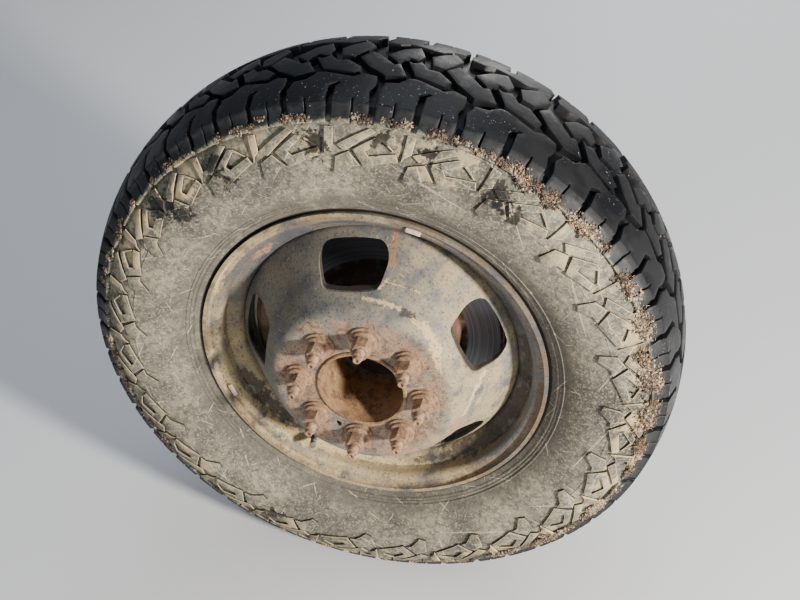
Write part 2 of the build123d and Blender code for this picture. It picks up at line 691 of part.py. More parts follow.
def valve_stem():
    seat_edge = RIM_HALF - BEAD_SEAT_WIDTH
    top_r = bead_seat_r(seat_edge)
    run = Vector(WELL_R - top_r, WELL_START + seat_edge, 0)
    middle = Vector((top_r + WELL_R) / 2, (WELL_START - seat_edge) / 2, 0)
    outward = Vector(run.Y, -run.X, 0).normalized()
    if outward.Y > 0:
        outward = outward * -1
    foot = middle + outward * (RIM_WALL + SNUG_FIT)
    stem = Plane(origin=foot, z_dir=outward) * (
        Pos(0, 0, VALVE_LENGTH / 2) * Cylinder(VALVE_R, VALVE_LENGTH)
    )
    return turned(stem, VALVE_ANGLE)


def balance_weights():
    wall_face = -RIM_HALF - RIM_WALL
    outer_r = FLANGE_R - FLANGE_CURL_R
    inner_r = outer_r - WEIGHT_HEIGHT
    weights = []
    for angle in WEIGHT_ANGLES:
        section = rectangle_section(inner_r, outer_r, wall_face - WEIGHT_THICK, wall_face - SNUG_FIT)
        weights.append(sector(section, angle - WEIGHT_HALF_ANGLE, angle + WEIGHT_HALF_ANGLE))
    return weights


def bearing_unit():
    outer_end = KNUCKLE_FRONT - BEARING_FLANGE_THICK - BEARING_NOSE
    bore_r = HUB_SPINDLE_R + SLIP_FIT
    spigot_r = BEARING_R - SLIP_FIT
    return revolved(
        [
            (bore_r, outer_end),
            (BEARING_R + BEARING_NOSE_WALL, outer_end),
            (BEARING_R + BEARING_NOSE_WALL, KNUCKLE_FRONT - BEARING_FLANGE_THICK),
            (BEARING_FLANGE_R, KNUCKLE_FRONT - BEARING_FLANGE_THICK),
            (BEARING_FLANGE_R, KNUCKLE_FRONT),
            (spigot_r, KNUCKLE_FRONT),
            (spigot_r, PLATE_BACK),
            (bore_r, PLATE_BACK),
        ]
    )


def lug_place(height):
    """Where the kingpin line is at a distance along it, as (x, y, z)."""
    return KINGPIN.from_local_coords(Vector(0, 0, height))


def steering_knuckle():
    ring_back = KNUCKLE_FRONT + KNUCKLE_RING_LENGTH
    half_lug = KNUCKLE_LUG_THICK / 2
    upper = lug_place(UPPER_BALL)
    lower = lug_place(LOWER_BALL)
    body = rod(KNUCKLE_RING_R, KNUCKLE_FRONT, ring_back)
    ear = sector(
        rectangle_section(BEARING_R, KNUCKLE_EAR_R, PLATE_FRONT, PLATE_BACK),
        CALIPER_ANGLE - KNUCKLE_EAR_HALF_ANGLE,
        CALIPER_ANGLE + KNUCKLE_EAR_HALF_ANGLE,
    )
    body += ear
    body += rod(KNUCKLE_RING_R, PLATE_FRONT, PLATE_BACK)
    body += side_plate(
        [
            (PLATE_FRONT, BEARING_R - KNUCKLE_ARM_ROOT),
            (PLATE_BACK, BEARING_R - KNUCKLE_ARM_ROOT),
            (PLATE_BACK + KNUCKLE_ARM_NECK, upper.Z - half_lug),
            (upper.Y, upper.Z - half_lug),
            (upper.Y, upper.Z + half_lug),
            (PLATE_BACK, upper.Z + half_lug + KNUCKLE_ARM_RISE),
            (PLATE_FRONT, upper.Z + half_lug - KNUCKLE_ARM_FALL),
        ],
        KNUCKLE_ARM_HALF_WIDTH,
    )
    body += side_plate(
        [
            (PLATE_FRONT, -BEARING_R + KNUCKLE_ARM_ROOT),
            (PLATE_BACK, -BEARING_R + KNUCKLE_ARM_ROOT),
            (PLATE_BACK, lower.Z + half_lug + KNUCKLE_ARM_FALL),
            (PLATE_BACK + KNUCKLE_ARM_NECK, lower.Z + half_lug),
            (lower.Y, lower.Z + half_lug),
            (lower.Y, lower.Z - half_lug),
            (PLATE_BACK - KNUCKLE_ARM_RISE, lower.Z - half_lug),
            (PLATE_FRONT, lower.Z - half_lug + KNUCKLE_ARM_HEEL),
        ],
        KNUCKLE_ARM_HALF_WIDTH,
    )
    body += kingpin_rod(KNUCKLE_LUG_R, UPPER_BALL - half_lug, UPPER_BALL + half_lug)
    body += kingpin_rod(KNUCKLE_LUG_R, LOWER_BALL - half_lug, LOWER_BALL + half_lug)
    body += steering_arm()
    for centre in (UPPER_BALL, LOWER_BALL):
        low, high = yoke_lug_span(centre)
        body -= kingpin_rod(BALL_HOUSING_R + SNUG_FIT, centre - KNUCKLE_LUG_THICK, low)
        body -= kingpin_rod(YOKE_LUG_R + RUN_GAP, centre + half_lug, high + BALL_NUT_HEIGHT)
    body -= rod(BEARING_R, KNUCKLE_FRONT - 1, PLATE_BACK + BEARING_BORE_PROUD)
    return body


def steering_arm():
    eye = Vector(STEERING_ARM_REACH, KINGPIN_Y + STEERING_EYE_SETBACK)
    root_x = KNUCKLE_RING_R - STEERING_ARM_ROOT
    outer_edge, inner_edge = [
        eye + Vector(STEERING_EYE_R, 0).rotate(Axis.Z, angle) for angle in STEERING_EYE_TANGENTS
    ]
    outline = make_face(
        Polyline(
            (root_x, PLATE_FRONT),
            (KNUCKLE_RING_R + STEERING_ARM_FLARE, PLATE_FRONT),
            outer_edge,
            inner_edge,
            (KNUCKLE_RING_R + STEERING_ARM_BEND, PLATE_BACK + STEERING_ARM_FLARE),
            (root_x, PLATE_BACK),
            close=True,
        )
    )
    half = STEERING_ARM_THICK / 2
    arm = extrude(outline, half, both=True)
    arm += Pos(eye) * Cylinder(STEERING_EYE_R, STEERING_ARM_THICK)
    arm -= Pos(eye) * Cylinder(STEERING_EYE_BORE_R, STEERING_ARM_THICK + 2)
    return arm


def ball_joint(centre):
    """The pressed-in housing, with a round cup for the ball, open at the top."""
    half = KNUCKLE_LUG_THICK / 2
    housing = kingpin_rod(BALL_HOUSING_R, centre - half - BALL_HOUSING_PROUD, centre + half)
    housing -= on_kingpin(Pos(0, 0, centre) * Sphere(BALL_R + SLIP_FIT))
    housing -= kingpin_rod(BALL_STUD_R + BALL_MOUTH_GAP, centre, centre + half + 1)
    return housing


def ball_stud(centre, nut_top):
    """The ball and its stud, from the cup up through the yoke's lug."""
    stud = on_kingpin(Pos(0, 0, centre) * Sphere(BALL_R))
    stud += kingpin_rod(BALL_STUD_R, centre, nut_top + BALL_STUD_PROUD)
    return stud


def ball_boot(centre, lug_face):
    low = centre + KNUCKLE_LUG_THICK / 2
    boot = kingpin_rod(BALL_STUD_R + BOOT_WALL, low, lug_face - SLIP_FIT)
    boot -= kingpin_rod(BALL_STUD_R + SLIP_FIT, low - 1, lug_face + 1)
    return boot


def yoke_lug_span(centre):
    low = centre + KNUCKLE_LUG_THICK / 2 + BOOT_GAP
    return low, low + YOKE_LUG_THICK


def ball_nut(centre):
    low = yoke_lug_span(centre)[1]
    face = RegularPolygon(BALL_NUT_R, 6, major_radius=False)
    nut = on_kingpin(Pos(0, 0, low) * extrude(face, BALL_NUT_HEIGHT))
    nut -= kingpin_rod(BALL_STUD_R + SNUG_FIT, low - 1, low + BALL_NUT_HEIGHT + 1)
    return nut


def axle_yoke():
    upper_low, upper_high = yoke_lug_span(UPPER_BALL)
    lower_low, lower_high = yoke_lug_span(LOWER_BALL)
    upper = lug_place((upper_low + upper_high) / 2)
    lower = lug_place((lower_low + lower_high) / 2)
    half = YOKE_LUG_THICK / 2
    yoke = side_plate(
        [
            (upper.Y, upper.Z - half),
            (YOKE_FRONT - YOKE_TIP, upper.Z - half),
            (YOKE_FRONT, upper.Z - half - YOKE_UPPER_CORNER),
            (YOKE_FRONT, lower.Z + half + YOKE_LOWER_CORNER),
            (YOKE_FRONT - YOKE_LOWER_CORNER_RUN, lower.Z + half),
            (lower.Y, lower.Z + half),
            (lower.Y, lower.Z - half),
            (YOKE_FRONT - YOKE_TIP, lower.Z - half),
            (YOKE_FRONT + YOKE_LOWER_HEEL, lower.Z + YOKE_LOWER_HEEL_RISE),
            (YOKE_END - YOKE_SOCKET_SHOULDER, YOKE_SOCKET_STEP - YOKE_SOCKET_R),
            (YOKE_END - YOKE_SOCKET_SHOULDER, YOKE_SOCKET_R - YOKE_SOCKET_STEP),
            (YOKE_FRONT + YOKE_UPPER_WAIST, upper.Z - half - YOKE_UPPER_WAIST_DROP),
            (YOKE_FRONT + YOKE_UPPER_HEEL, upper.Z + YOKE_SOCKET_STEP),
            (YOKE_FRONT - YOKE_TIP, upper.Z + half),
            (upper.Y, upper.Z + half),
        ],
        YOKE_HALF_WIDTH,
    )
    yoke += kingpin_rod(YOKE_LUG_R, upper_low, upper_high)
    yoke += kingpin_rod(YOKE_LUG_R, lower_low, lower_high)
    yoke += rod(YOKE_SOCKET_R, YOKE_FRONT + YOKE_SOCKET_LAP, YOKE_END)
    yoke -= rod(TUBE_R - TUBE_SEAT_STEP, YOKE_END - TUBE_SEAT, YOKE_END + 1)
    yoke -= rod(TUBE_R - TUBE_WALL, YOKE_FRONT - 1, YOKE_END)
    for centre in (UPPER_BALL, LOWER_BALL):
        low, high = yoke_lug_span(centre)
        yoke -= kingpin_rod(BALL_STUD_R + SNUG_FIT, low - 1, high + 1)
        yoke -= kingpin_rod(SPOT_FACE_R, high, high + BALL_NUT_HEIGHT)
        yoke -= kingpin_rod(KNUCKLE_LUG_R + RUN_GAP, centre - KNUCKLE_LUG_THICK, low)
    return yoke


def axle_tube():
    bore_r = TUBE_R - TUBE_WALL
    spigot = ring(bore_r, TUBE_R - TUBE_SEAT_STEP, YOKE_END - TUBE_SEAT, YOKE_END)
    return spigot + ring(bore_r, TUBE_R, YOKE_END, TUBE_END)


def brake_pad(face, direction):
    """A pad whose lining faces the brake disc; direction is -1 outside and 1 inside."""
    near = face + direction * PAD_GAP
    far = near + direction * (PAD_LINING + PAD_BACKING)
    plate_start = near + direction * PAD_LINING
    half = CALIPER_HALF_ANGLE
    lining = sector(
        rectangle_section(PAD_INNER_R, PAD_OUTER_R, min(near, plate_start), max(near, plate_start)),
        CALIPER_ANGLE - half + PAD_PLATE_PROUD,
        CALIPER_ANGLE + half - PAD_PLATE_PROUD,
    )
    plate = sector(
        rectangle_section(PAD_INNER_R, PAD_OUTER_R, min(plate_start, far), max(plate_start, far)),
        CALIPER_ANGLE - half,
        CALIPER_ANGLE + half,
    )
    return lining + plate


def brake_caliper():
    finger_front = PAD_BACK_OUT - CALIPER_FINGER
    start = CALIPER_ANGLE - CALIPER_HALF_ANGLE
    end = CALIPER_ANGLE + CALIPER_HALF_ANGLE
    section = [
        (CALIPER_INNER_R + CALIPER_NOSE_INSET, finger_front),
        (CALIPER_OUTER_R - CALIPER_EDGE, finger_front),
        (CALIPER_OUTER_R, finger_front + CALIPER_EDGE),
        (CALIPER_OUTER_R, HOUSING_BACK - CALIPER_EDGE),
        (CALIPER_OUTER_R - CALIPER_EDGE, HOUSING_BACK),
        (CALIPER_INNER_R, HOUSING_BACK),
        (CALIPER_INNER_R, HOUSING_FRONT),
        (BRIDGE_INNER_R, HOUSING_FRONT),
        (BRIDGE_INNER_R, PAD_BACK_OUT),
        (CALIPER_INNER_R + CALIPER_NOSE_INSET, PAD_BACK_OUT),
    ]
    body = sector(section, start, end)
    body -= sector(
        rectangle_section(
            BRIDGE_INNER_R - 1,
            CALIPER_OUTER_R + 1,
            ROTOR_FACE - CALIPER_WINDOW_MARGIN,
            ROTOR_BACK + CALIPER_WINDOW_MARGIN,
        ),
        CALIPER_ANGLE - CALIPER_WINDOW_HALF_ANGLE,
        CALIPER_ANGLE + CALIPER_WINDOW_HALF_ANGLE,
    )
    ear_low = HOUSING_FRONT + BRACKET_THICK
    ear_high = ear_low + CALIPER_EAR_THICK
    ear_inner = SLIDE_PIN_CIRCLE_R - CALIPER_EAR_HALF_WIDTH
    ear_outer = SLIDE_PIN_CIRCLE_R + CALIPER_EAR_HALF_WIDTH
    for side in (-1, 1):
        pin_angle = CALIPER_ANGLE + side * SLIDE_PIN_ANGLE
        piston_angle = CALIPER_ANGLE + side * PISTON_SPREAD
        root = CALIPER_ANGLE + side * (CALIPER_HALF_ANGLE - CALIPER_EAR_SPAN)
        ends = sorted((root, pin_angle + side * CALIPER_EAR_SPAN))
        body += sector(rectangle_section(ear_inner, ear_outer, ear_low, ear_high), *ends)
        body -= rod(SLIDE_PIN_R, ear_low - 1, ear_high + 1, SLIDE_PIN_CIRCLE_R, pin_angle)
        bore_end = HOUSING_FRONT + PISTON_BORE_DEPTH
        body -= rod(PISTON_R, HOUSING_FRONT - 1, bore_end, PAD_MIDDLE_R, piston_angle)
    port_end = HOUSING_BACK - HOSE_PORT_DEPTH
    body -= rod(HOSE_PORT_R, port_end, HOUSING_BACK + 1, PAD_MIDDLE_R, CALIPER_ANGLE)
    return body


def caliper_pistons():
    bore_end = HOUSING_FRONT + PISTON_BORE_DEPTH
    pistons = []
    for side in (-1, 1):
        angle = CALIPER_ANGLE + side * PISTON_SPREAD
        pistons.append(rod(PISTON_R - PISTON_FIT, PAD_BACK_IN, bore_end, PAD_MIDDLE_R, angle))
    return pistons


def caliper_bracket():
    back = PLATE_BACK + BRACKET_THICK
    bracket = sector(
        rectangle_section(BRACKET_INNER_R, KNUCKLE_EAR_R, PLATE_BACK, back),
        CALIPER_ANGLE - BRACKET_LEG_OUTER,
        CALIPER_ANGLE + BRACKET_LEG_OUTER,
    )
    for side in (-1, 1):
        ends = sorted((CALIPER_ANGLE + side * BRACKET_LEG_INNER, CALIPER_ANGLE + side * BRACKET_LEG_OUTER))
        pin_angle = CALIPER_ANGLE + side * SLIDE_PIN_ANGLE
        bracket += sector(rectangle_section(BRACKET_INNER_R, CALIPER_OUTER_R, PLATE_BACK, back), *ends)
        bracket += sector(rectangle_section(BRIDGE_INNER_R, CALIPER_OUTER_R, PAD_BACK_OUT, back), *ends)
        bracket -= rod(SLIDE_PIN_R, PLATE_BACK - 1, back + 1, SLIDE_PIN_CIRCLE_R, pin_angle)
    return bracket


def slide_pins():
    pins = []
    for side in (-1, 1):
        angle = CALIPER_ANGLE + side * SLIDE_PIN_ANGLE
        pins.append(
            rod(SLIDE_PIN_R, PLATE_BACK, PLATE_BACK + SLIDE_PIN_LENGTH, SLIDE_PIN_CIRCLE_R, angle)
        )
    return pins


def dust_shield():
    shield = ring(KNUCKLE_RING_R + SLIP_FIT, SHIELD_R, PLATE_FRONT - SHIELD_THICK, PLATE_FRONT)
    shield -= sector(
        rectangle_section(KNUCKLE_EAR_R, SHIELD_R + 1, PLATE_FRONT - SHIELD_THICK - 1, PLATE_FRONT + 1),
        CALIPER_ANGLE - SHIELD_CUT_HALF_ANGLE,
        CALIPER_ANGLE + SHIELD_CUT_HALF_ANGLE,
    )
    return shield


NODES = {
    "axle_tube": axle_tube,
    "axle_yoke": axle_yoke,
    "upper_ball_stud": lambda: ball_stud(UPPER_BALL, yoke_lug_span(UPPER_BALL)[1] + BALL_NUT_HEIGHT),
    "lower_ball_stud": lambda: ball_stud(LOWER_BALL, yoke_lug_span(LOWER_BALL)[1] + BALL_NUT_HEIGHT),
    "ball_stud_nuts": lambda: [ball_nut(UPPER_BALL), ball_nut(LOWER_BALL)],
    "steering_knuckle": steering_knuckle,
    "upper_ball_joint": lambda: ball_joint(UPPER_BALL),
    "lower_ball_joint": lambda: ball_joint(LOWER_BALL),
    "ball_joint_boots": lambda: [
        ball_boot(UPPER_BALL, yoke_lug_span(UPPER_BALL)[0]),
        ball_boot(LOWER_BALL, yoke_lug_span(LOWER_BALL)[0]),
    ],
    "bearing_unit": bearing_unit,
    "dust_shield": dust_shield,
    "caliper_bracket": caliper_bracket,
    "brake_caliper": brake_caliper,
    "caliper_pistons": caliper_pistons,
    "slide_pins": slide_pins,
    "outer_brake_pad": lambda: brake_pad(ROTOR_FACE, -1),
    "inner_brake_pad": lambda: brake_pad(ROTOR_BACK, 1),
    "wheel_hub": wheel_hub,
    "hub_studs": hub_studs,
    "extension_nuts": extension_nuts,
    "brake_rotor": brake_rotor,
    "hub_extension": hub_extension,
    "wheel_studs": wheel_studs,
    "wheel_disc": wheel_disc,
    "wheel_rim": wheel_rim,
    "nut_washers": nut_washers,
    "lug_nuts": lug_nuts,
    "valve_stem": valve_stem,
    "balance_weights": balance_weights,
    "tyre": tyre,
}


def main():
    os.makedirs("parts", exist_ok=True)
    to_origin = Pos(0, -TUBE_END, 0)
    for name, make in NODES.items():
        piece = make()
        if isinstance(piece, list):
            piece = Compound(children=[Compound(p.solids()) for p in piece])
        solids = [to_origin * solid for solid in piece.solids()]
        shape = solids[0] if len(solids) == 1 else Compound(solids)
        export_step(shape, f"parts/{name}.step")
        print(name, len(solids), "solids", round(sum(s.volume for s in solids)), "mm3")


main()
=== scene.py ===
# %% [markdown]
# A truck's front wheel end, dressed. The construction comes from the packed model: every node is
# already at its real size and place, so this lesson only adds what a camera sees, which is the
# finish of each surface, the tyre's tread and sidewall, the threads and the dried mud.
# Everything is in metres, with X forward, Y along the axle towards the vehicle and Z up.

import math
import random

import bmesh
import bpy
import numpy as np
from mathutils import Matrix, Vector


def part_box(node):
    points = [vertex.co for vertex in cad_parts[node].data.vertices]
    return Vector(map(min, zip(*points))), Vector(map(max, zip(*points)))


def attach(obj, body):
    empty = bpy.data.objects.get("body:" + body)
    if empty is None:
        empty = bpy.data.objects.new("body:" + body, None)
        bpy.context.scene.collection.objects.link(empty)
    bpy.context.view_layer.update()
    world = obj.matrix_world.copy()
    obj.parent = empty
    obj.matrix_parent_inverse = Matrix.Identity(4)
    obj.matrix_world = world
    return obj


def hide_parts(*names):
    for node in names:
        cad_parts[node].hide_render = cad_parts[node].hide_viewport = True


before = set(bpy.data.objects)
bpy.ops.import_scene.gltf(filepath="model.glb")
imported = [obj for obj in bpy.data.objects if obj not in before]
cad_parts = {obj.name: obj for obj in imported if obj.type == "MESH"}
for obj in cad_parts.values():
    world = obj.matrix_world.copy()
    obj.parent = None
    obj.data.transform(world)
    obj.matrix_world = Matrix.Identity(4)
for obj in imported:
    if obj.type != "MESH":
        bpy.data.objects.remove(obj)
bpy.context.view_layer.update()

# %% [markdown]
# The tyre's box gives the places that the rest is measured from: the middle plane of the wheel,
# the tread's radius and half the tyre's width. The wheel turns about the Y axis, so a place on it
# is a radius, an angle seen from outside and a distance from the middle plane.

# %% Places measured from the frame
tyre_low, tyre_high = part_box("tyre")
WHEEL_Y = (tyre_low.y + tyre_high.y) / 2
TYRE_R = tyre_high.z
HALF_WIDTH = (tyre_high.y - tyre_low.y) / 2
AXIS = (0.0, 1.0, 0.0)
HUB_CENTRE = (0.0, WHEEL_Y, 0.0)


def at_wheel(radius, angle, across):
    """A point on the wheel: across is negative outside, and the angle is in degrees."""
    turn = math.radians(angle)
    return Vector((radius * math.cos(turn), WHEEL_Y + across, radius * math.sin(turn)))


print("wheel plane", round(WHEEL_Y, 4), "radius", round(TYRE_R, 4), "half width", round(HALF_WIDTH, 4))

# %% [markdown]
# The camera stands where the photographer stood, above and in front of the wheel. Three numbers
# describe it: the lens, the place and the line it looks along. The picture is 800 by 600.

# %% Camera
CAMERA_PLACE = (0.31023, -1.60018, 1.03328)
CAMERA_LENS = 54.09
SENSOR_WIDTH = 36.0
CAMERA_RIGHT = Vector((0.9747, 0.2235, 0.0))
CAMERA_UP = Vector((-0.1351, 0.5892, 0.7966))


def place_camera():
    data = bpy.data.cameras.new("photo_camera")
    data.lens = CAMERA_LENS
    data.sensor_width = SENSOR_WIDTH
    camera = bpy.data.objects.new("photo_camera", data)
    back = CAMERA_RIGHT.cross(CAMERA_UP)
    turn = Matrix((CAMERA_RIGHT, CAMERA_UP, back)).transposed().to_4x4()
    camera.matrix_world = Matrix.Translation(CAMERA_PLACE) @ turn
    bpy.context.scene.collection.objects.link(camera)
    bpy.context.scene.camera = camera
    return camera


print("camera", place_camera().location[:])

# %% [markdown]
# A plain pale floor lies under the tyre. The key light stands low in front on the right, as the
# low sun does in the photograph, and wide weak lights fill the rest from the sky's side.

# %% Floor and lights
FLOOR_SIZE = 12.0
FLOOR_COLOUR = (0.74, 0.75, 0.77, 1.0)
FLOOR_ROUGHNESS = 0.7
LIGHTS = [
    # name, place, size, watts, colour
    ("key", (2.45, -1.92, 0.82), 0.35, 240.0, (1.0, 0.94, 0.85)),
    ("fill", (-1.7, -2.3, 2.4), 2.4, 9.0, (0.86, 0.92, 1.0)),
    ("sky", (0.2, 0.4, 3.2), 2.6, 25.0, (0.82, 0.9, 1.0)),
    ("behind", (0.5, 2.6, 1.2), 1.8, 34.0, (1.0, 0.98, 0.95)),
]
SKY_COLOUR = (0.72, 0.8, 0.9, 1.0)
SKY_STRENGTH = 0.33


def lay_floor():
    bm = bmesh.new()
    bmesh.ops.create_grid(bm, x_segments=1, y_segments=1, size=FLOOR_SIZE / 2)
    bmesh.ops.translate(bm, verts=bm.verts, vec=(0.0, WHEEL_Y, -TYRE_R))
    mesh = bpy.data.meshes.new("floor")
    bm.to_mesh(mesh)
    bm.free()
    floor = bpy.data.objects.new("floor", mesh)
    bpy.context.scene.collection.objects.link(floor)
    paint = bpy.data.materials.new("pale_floor")
    paint.use_nodes = True
    shader = paint.node_tree.nodes["Principled BSDF"]
    shader.inputs["Base Color"].default_value = FLOOR_COLOUR
    shader.inputs["Roughness"].default_value = FLOOR_ROUGHNESS
    mesh.materials.append(paint)


def hang_lights():
    for name, place, size, watts, colour in LIGHTS:
        data = bpy.data.lights.new(name, "AREA")
        data.shape = "DISK"
        data.size = size
        data.energy = watts
        data.color = colour
        lamp = bpy.data.objects.new(name, data)
        lamp.location = place
        aim = Vector(HUB_CENTRE) - Vector(place)
        lamp.rotation_mode = "QUATERNION"
        lamp.rotation_quaternion = aim.to_track_quat("-Z", "Y")
        bpy.context.scene.collection.objects.link(lamp)
    world = bpy.data.worlds.new("sky")
    world.use_nodes = True
    sky = world.node_tree.nodes["Background"]
    sky.inputs["Color"].default_value = SKY_COLOUR
    sky.inputs["Strength"].default_value = SKY_STRENGTH
    bpy.context.scene.world = world


lay_floor()
hang_lights()
print("lights", len(LIGHTS))

# %% [markdown]
# Materials are node trees, so a few helpers keep them readable. `add` makes one node and fills its
# inputs, either with plain values or by joining another node's output. `new_group` starts a group
# with named sockets, which several finishes then share.

# %% Node helpers


def tint(red, green, blue):
    """A colour given as 0 to 255 on the screen, turned into the values that a shader wants."""
    return tuple(((c / 255 + 0.055) / 1.055) ** 2.4 for c in (red, green, blue)) + (1.0,)


def fill_input(tree, socket, value):
    if isinstance(value, bpy.types.NodeSocket):
        tree.links.new(value, socket)
    else:
        socket.default_value = value


def add(tree, kind, *values, settings=None, **named):
    node = tree.nodes.new("ShaderNode" + kind)
    for key, value in (settings or {}).items():
        setattr(node, key, value)
    for index, value in enumerate(values):
        fill_input(tree, node.inputs[index], value)
    for key, value in named.items():
        fill_input(tree, node.inputs[key], value)
    return node


def calc(tree, operation, *values, clamp=False):
    settings = {"operation": operation, "use_clamp": clamp}
    return add(tree, "Math", *values, settings=settings).outputs[0]


def vectors(tree, operation, *values, **named):
    return add(tree, "VectorMath", *values, settings={"operation": operation}, **named).outputs


def noise(tree, place, scale, detail, roughness=0.5):
    cloud = add(tree, "TexNoise", Vector=place, Scale=scale, Detail=detail, Roughness=roughness)
    return cloud.outputs[0]


def mix_colours(tree, factor, first, second):
    node = add(tree, "Mix", settings={"data_type": "RGBA"})
    fill_input(tree, node.inputs[0], factor)
    fill_input(tree, node.inputs[6], first)
    fill_input(tree, node.inputs[7], second)
    return node.outputs[2]


def ramp(tree, value, low, high, to_low=0.0, to_high=1.0):
    node = add(tree, "MapRange", value, low, high, to_low, to_high)
    node.interpolation_type = "SMOOTHSTEP"
    return node.outputs[0]


def new_group(name, inputs, outputs):
    tree = bpy.data.node_groups.new(name, "ShaderNodeTree")
    for socket, kind, value in inputs:
        made = tree.interface.new_socket(socket, in_out="INPUT", socket_type="NodeSocket" + kind)
        if value is not None:
            made.default_value = value
    for socket, kind in outputs:
        tree.interface.new_socket(socket, in_out="OUTPUT", socket_type="NodeSocket" + kind)
    start = tree.nodes.new("NodeGroupInput").outputs
    end = tree.nodes.new("NodeGroupOutput").inputs
    return tree, start, end


def use_group(tree, group, **named):
    node = tree.nodes.new("ShaderNodeGroup")
    node.node_tree = group
    for key, value in named.items():
        fill_input(tree, node.inputs[key], value)
    return node.outputs


print("middle grey on the screen is", round(tint(128, 128, 128)[0], 3), "in the shader")

# %% [markdown]
# Dirt, rust and wear are the same few effects with other numbers, so each becomes a node group
# that puts out a mask from 0 to 1. First come mottled patches, which are noise cut off between two
# levels, a band between two values, and the place of a point on the wheel: its radius, how far
# across it lies, and which way it lies from the middle.

# %% Patches, bands and places
NO_RADIUS = 0.001


def make_mottle():
    inputs = [
        ("Vector", "Vector", None),
        ("Scale", "Float", 20.0),
        ("Low", "Float", 0.45),
        ("High", "Float", 0.6),
        ("Detail", "Float", 6.0),
    ]
    tree, start, end = new_group("mottle", inputs, [("Mask", "Float")])
    cloud = noise(tree, start["Vector"], start["Scale"], detail=start["Detail"], roughness=0.62)
    tree.links.new(ramp(tree, cloud, start["Low"], start["High"]), end["Mask"])
    return tree


def make_band():
    inputs = [
        ("Value", "Float", 0.0),
        ("Start", "Float", 0.0),
        ("End", "Float", 1.0),
        ("Soft", "Float", 0.005),
    ]
    tree, start, end = new_group("band", inputs, [("Mask", "Float")])
    rises = []
    for edge in ("Start", "End"):
        low = calc(tree, "SUBTRACT", start[edge], start["Soft"])
        high = calc(tree, "ADD", start[edge], start["Soft"])
        rises.append(ramp(tree, start["Value"], low, high))
    tree.links.new(calc(tree, "SUBTRACT", *rises, clamp=True), end["Mask"])
    return tree


def make_wheel_place():
    outputs = [("Radius", "Float"), ("Across", "Float"), ("Round", "Vector")]
    tree, start, end = new_group("wheel_place", [("Vector", "Vector", None)], outputs)
    x, y, z = add(tree, "SeparateXYZ", start["Vector"]).outputs
    squares = calc(tree, "ADD", calc(tree, "MULTIPLY", x, x), calc(tree, "MULTIPLY", z, z))
    radius = calc(tree, "SQRT", squares)
    safe = calc(tree, "MAXIMUM", radius, NO_RADIUS)
    way = add(tree, "CombineXYZ", calc(tree, "DIVIDE", x, safe), 0.0, calc(tree, "DIVIDE", z, safe))
    tree.links.new(radius, end["Radius"])
    tree.links.new(calc(tree, "SUBTRACT", y, WHEEL_Y), end["Across"])
    tree.links.new(way.outputs[0], end["Round"])
    return tree


MOTTLE = make_mottle()
BAND = make_band()
WHEEL_PLACE = make_wheel_place()
print("groups so far", [group.name for group in bpy.data.node_groups])

# %% [markdown]
# The other masks draw marks: a ragged blotch at one place, a ragged smear between two places, thin
# straight scratches that lean four ways, and streaks that run out from the wheel's centre. A blotch
# and a smear are both a distance that noise makes ragged, and the paint ends where it passes a size.

# %% Marks
SCRATCH_LEANS = (18.0, 64.0, 108.0, 151.0)
SCRATCH_STRETCH = (0.7, 6.0, 40.0)
SCRATCH_LEVEL = 0.76
SCRATCH_SOFT = 0.03


def ragged_edge(tree, start, gap, size, ragged, reach, detail):
    """A distance, made uneven by noise, as a share of the size that the mark has."""
    cloud = noise(tree, start["Vector"], start["Scale"], detail=detail, roughness=0.65)
    wander = calc(tree, "MULTIPLY", calc(tree, "SUBTRACT", cloud, 0.5), start[ragged])
    return calc(tree, "DIVIDE", calc(tree, "MULTIPLY_ADD", wander, reach, gap), start[size])


def make_blotch():
    inputs = [
        ("Vector", "Vector", None),
        ("Centre", "Vector", None),
        ("Size", "Float", 0.03),
        ("Ragged", "Float", 0.02),
        ("Scale", "Float", 90.0),
    ]
    tree, start, end = new_group("blotch", inputs, [("Mask", "Float")])
    gap = vectors(tree, "DISTANCE", start["Vector"], start["Centre"])["Value"]
    edge = ragged_edge(tree, start, gap, "Size", "Ragged", reach=4.0, detail=7.0)
    tree.links.new(ramp(tree, edge, 1.1, 0.75), end["Mask"])
    return tree


def make_smear():
    inputs = [
        ("Vector", "Vector", None),
        ("Start", "Vector", None),
        ("End", "Vector", None),
        ("Width", "Float", 0.005),
        ("Scale", "Float", 160.0),
    ]
    tree, start, end = new_group("smear", inputs, [("Mask", "Float")])
    stroke = vectors(tree, "SUBTRACT", start["End"], start["Start"])[0]
    offset = vectors(tree, "SUBTRACT", start["Vector"], start["Start"])[0]
    along = vectors(tree, "DOT_PRODUCT", offset, stroke)["Value"]
    whole = vectors(tree, "DOT_PRODUCT", stroke, stroke)["Value"]
    share = calc(tree, "DIVIDE", along, whole, clamp=True)
    nearest = vectors(tree, "SCALE", stroke, Scale=share)[0]
    gap = vectors(tree, "DISTANCE", offset, nearest)["Value"]
    edge = ragged_edge(tree, start, gap, "Width", "Width", reach=5.0, detail=6.0)
    tree.links.new(ramp(tree, edge, 1.15, 0.6), end["Mask"])
    return tree


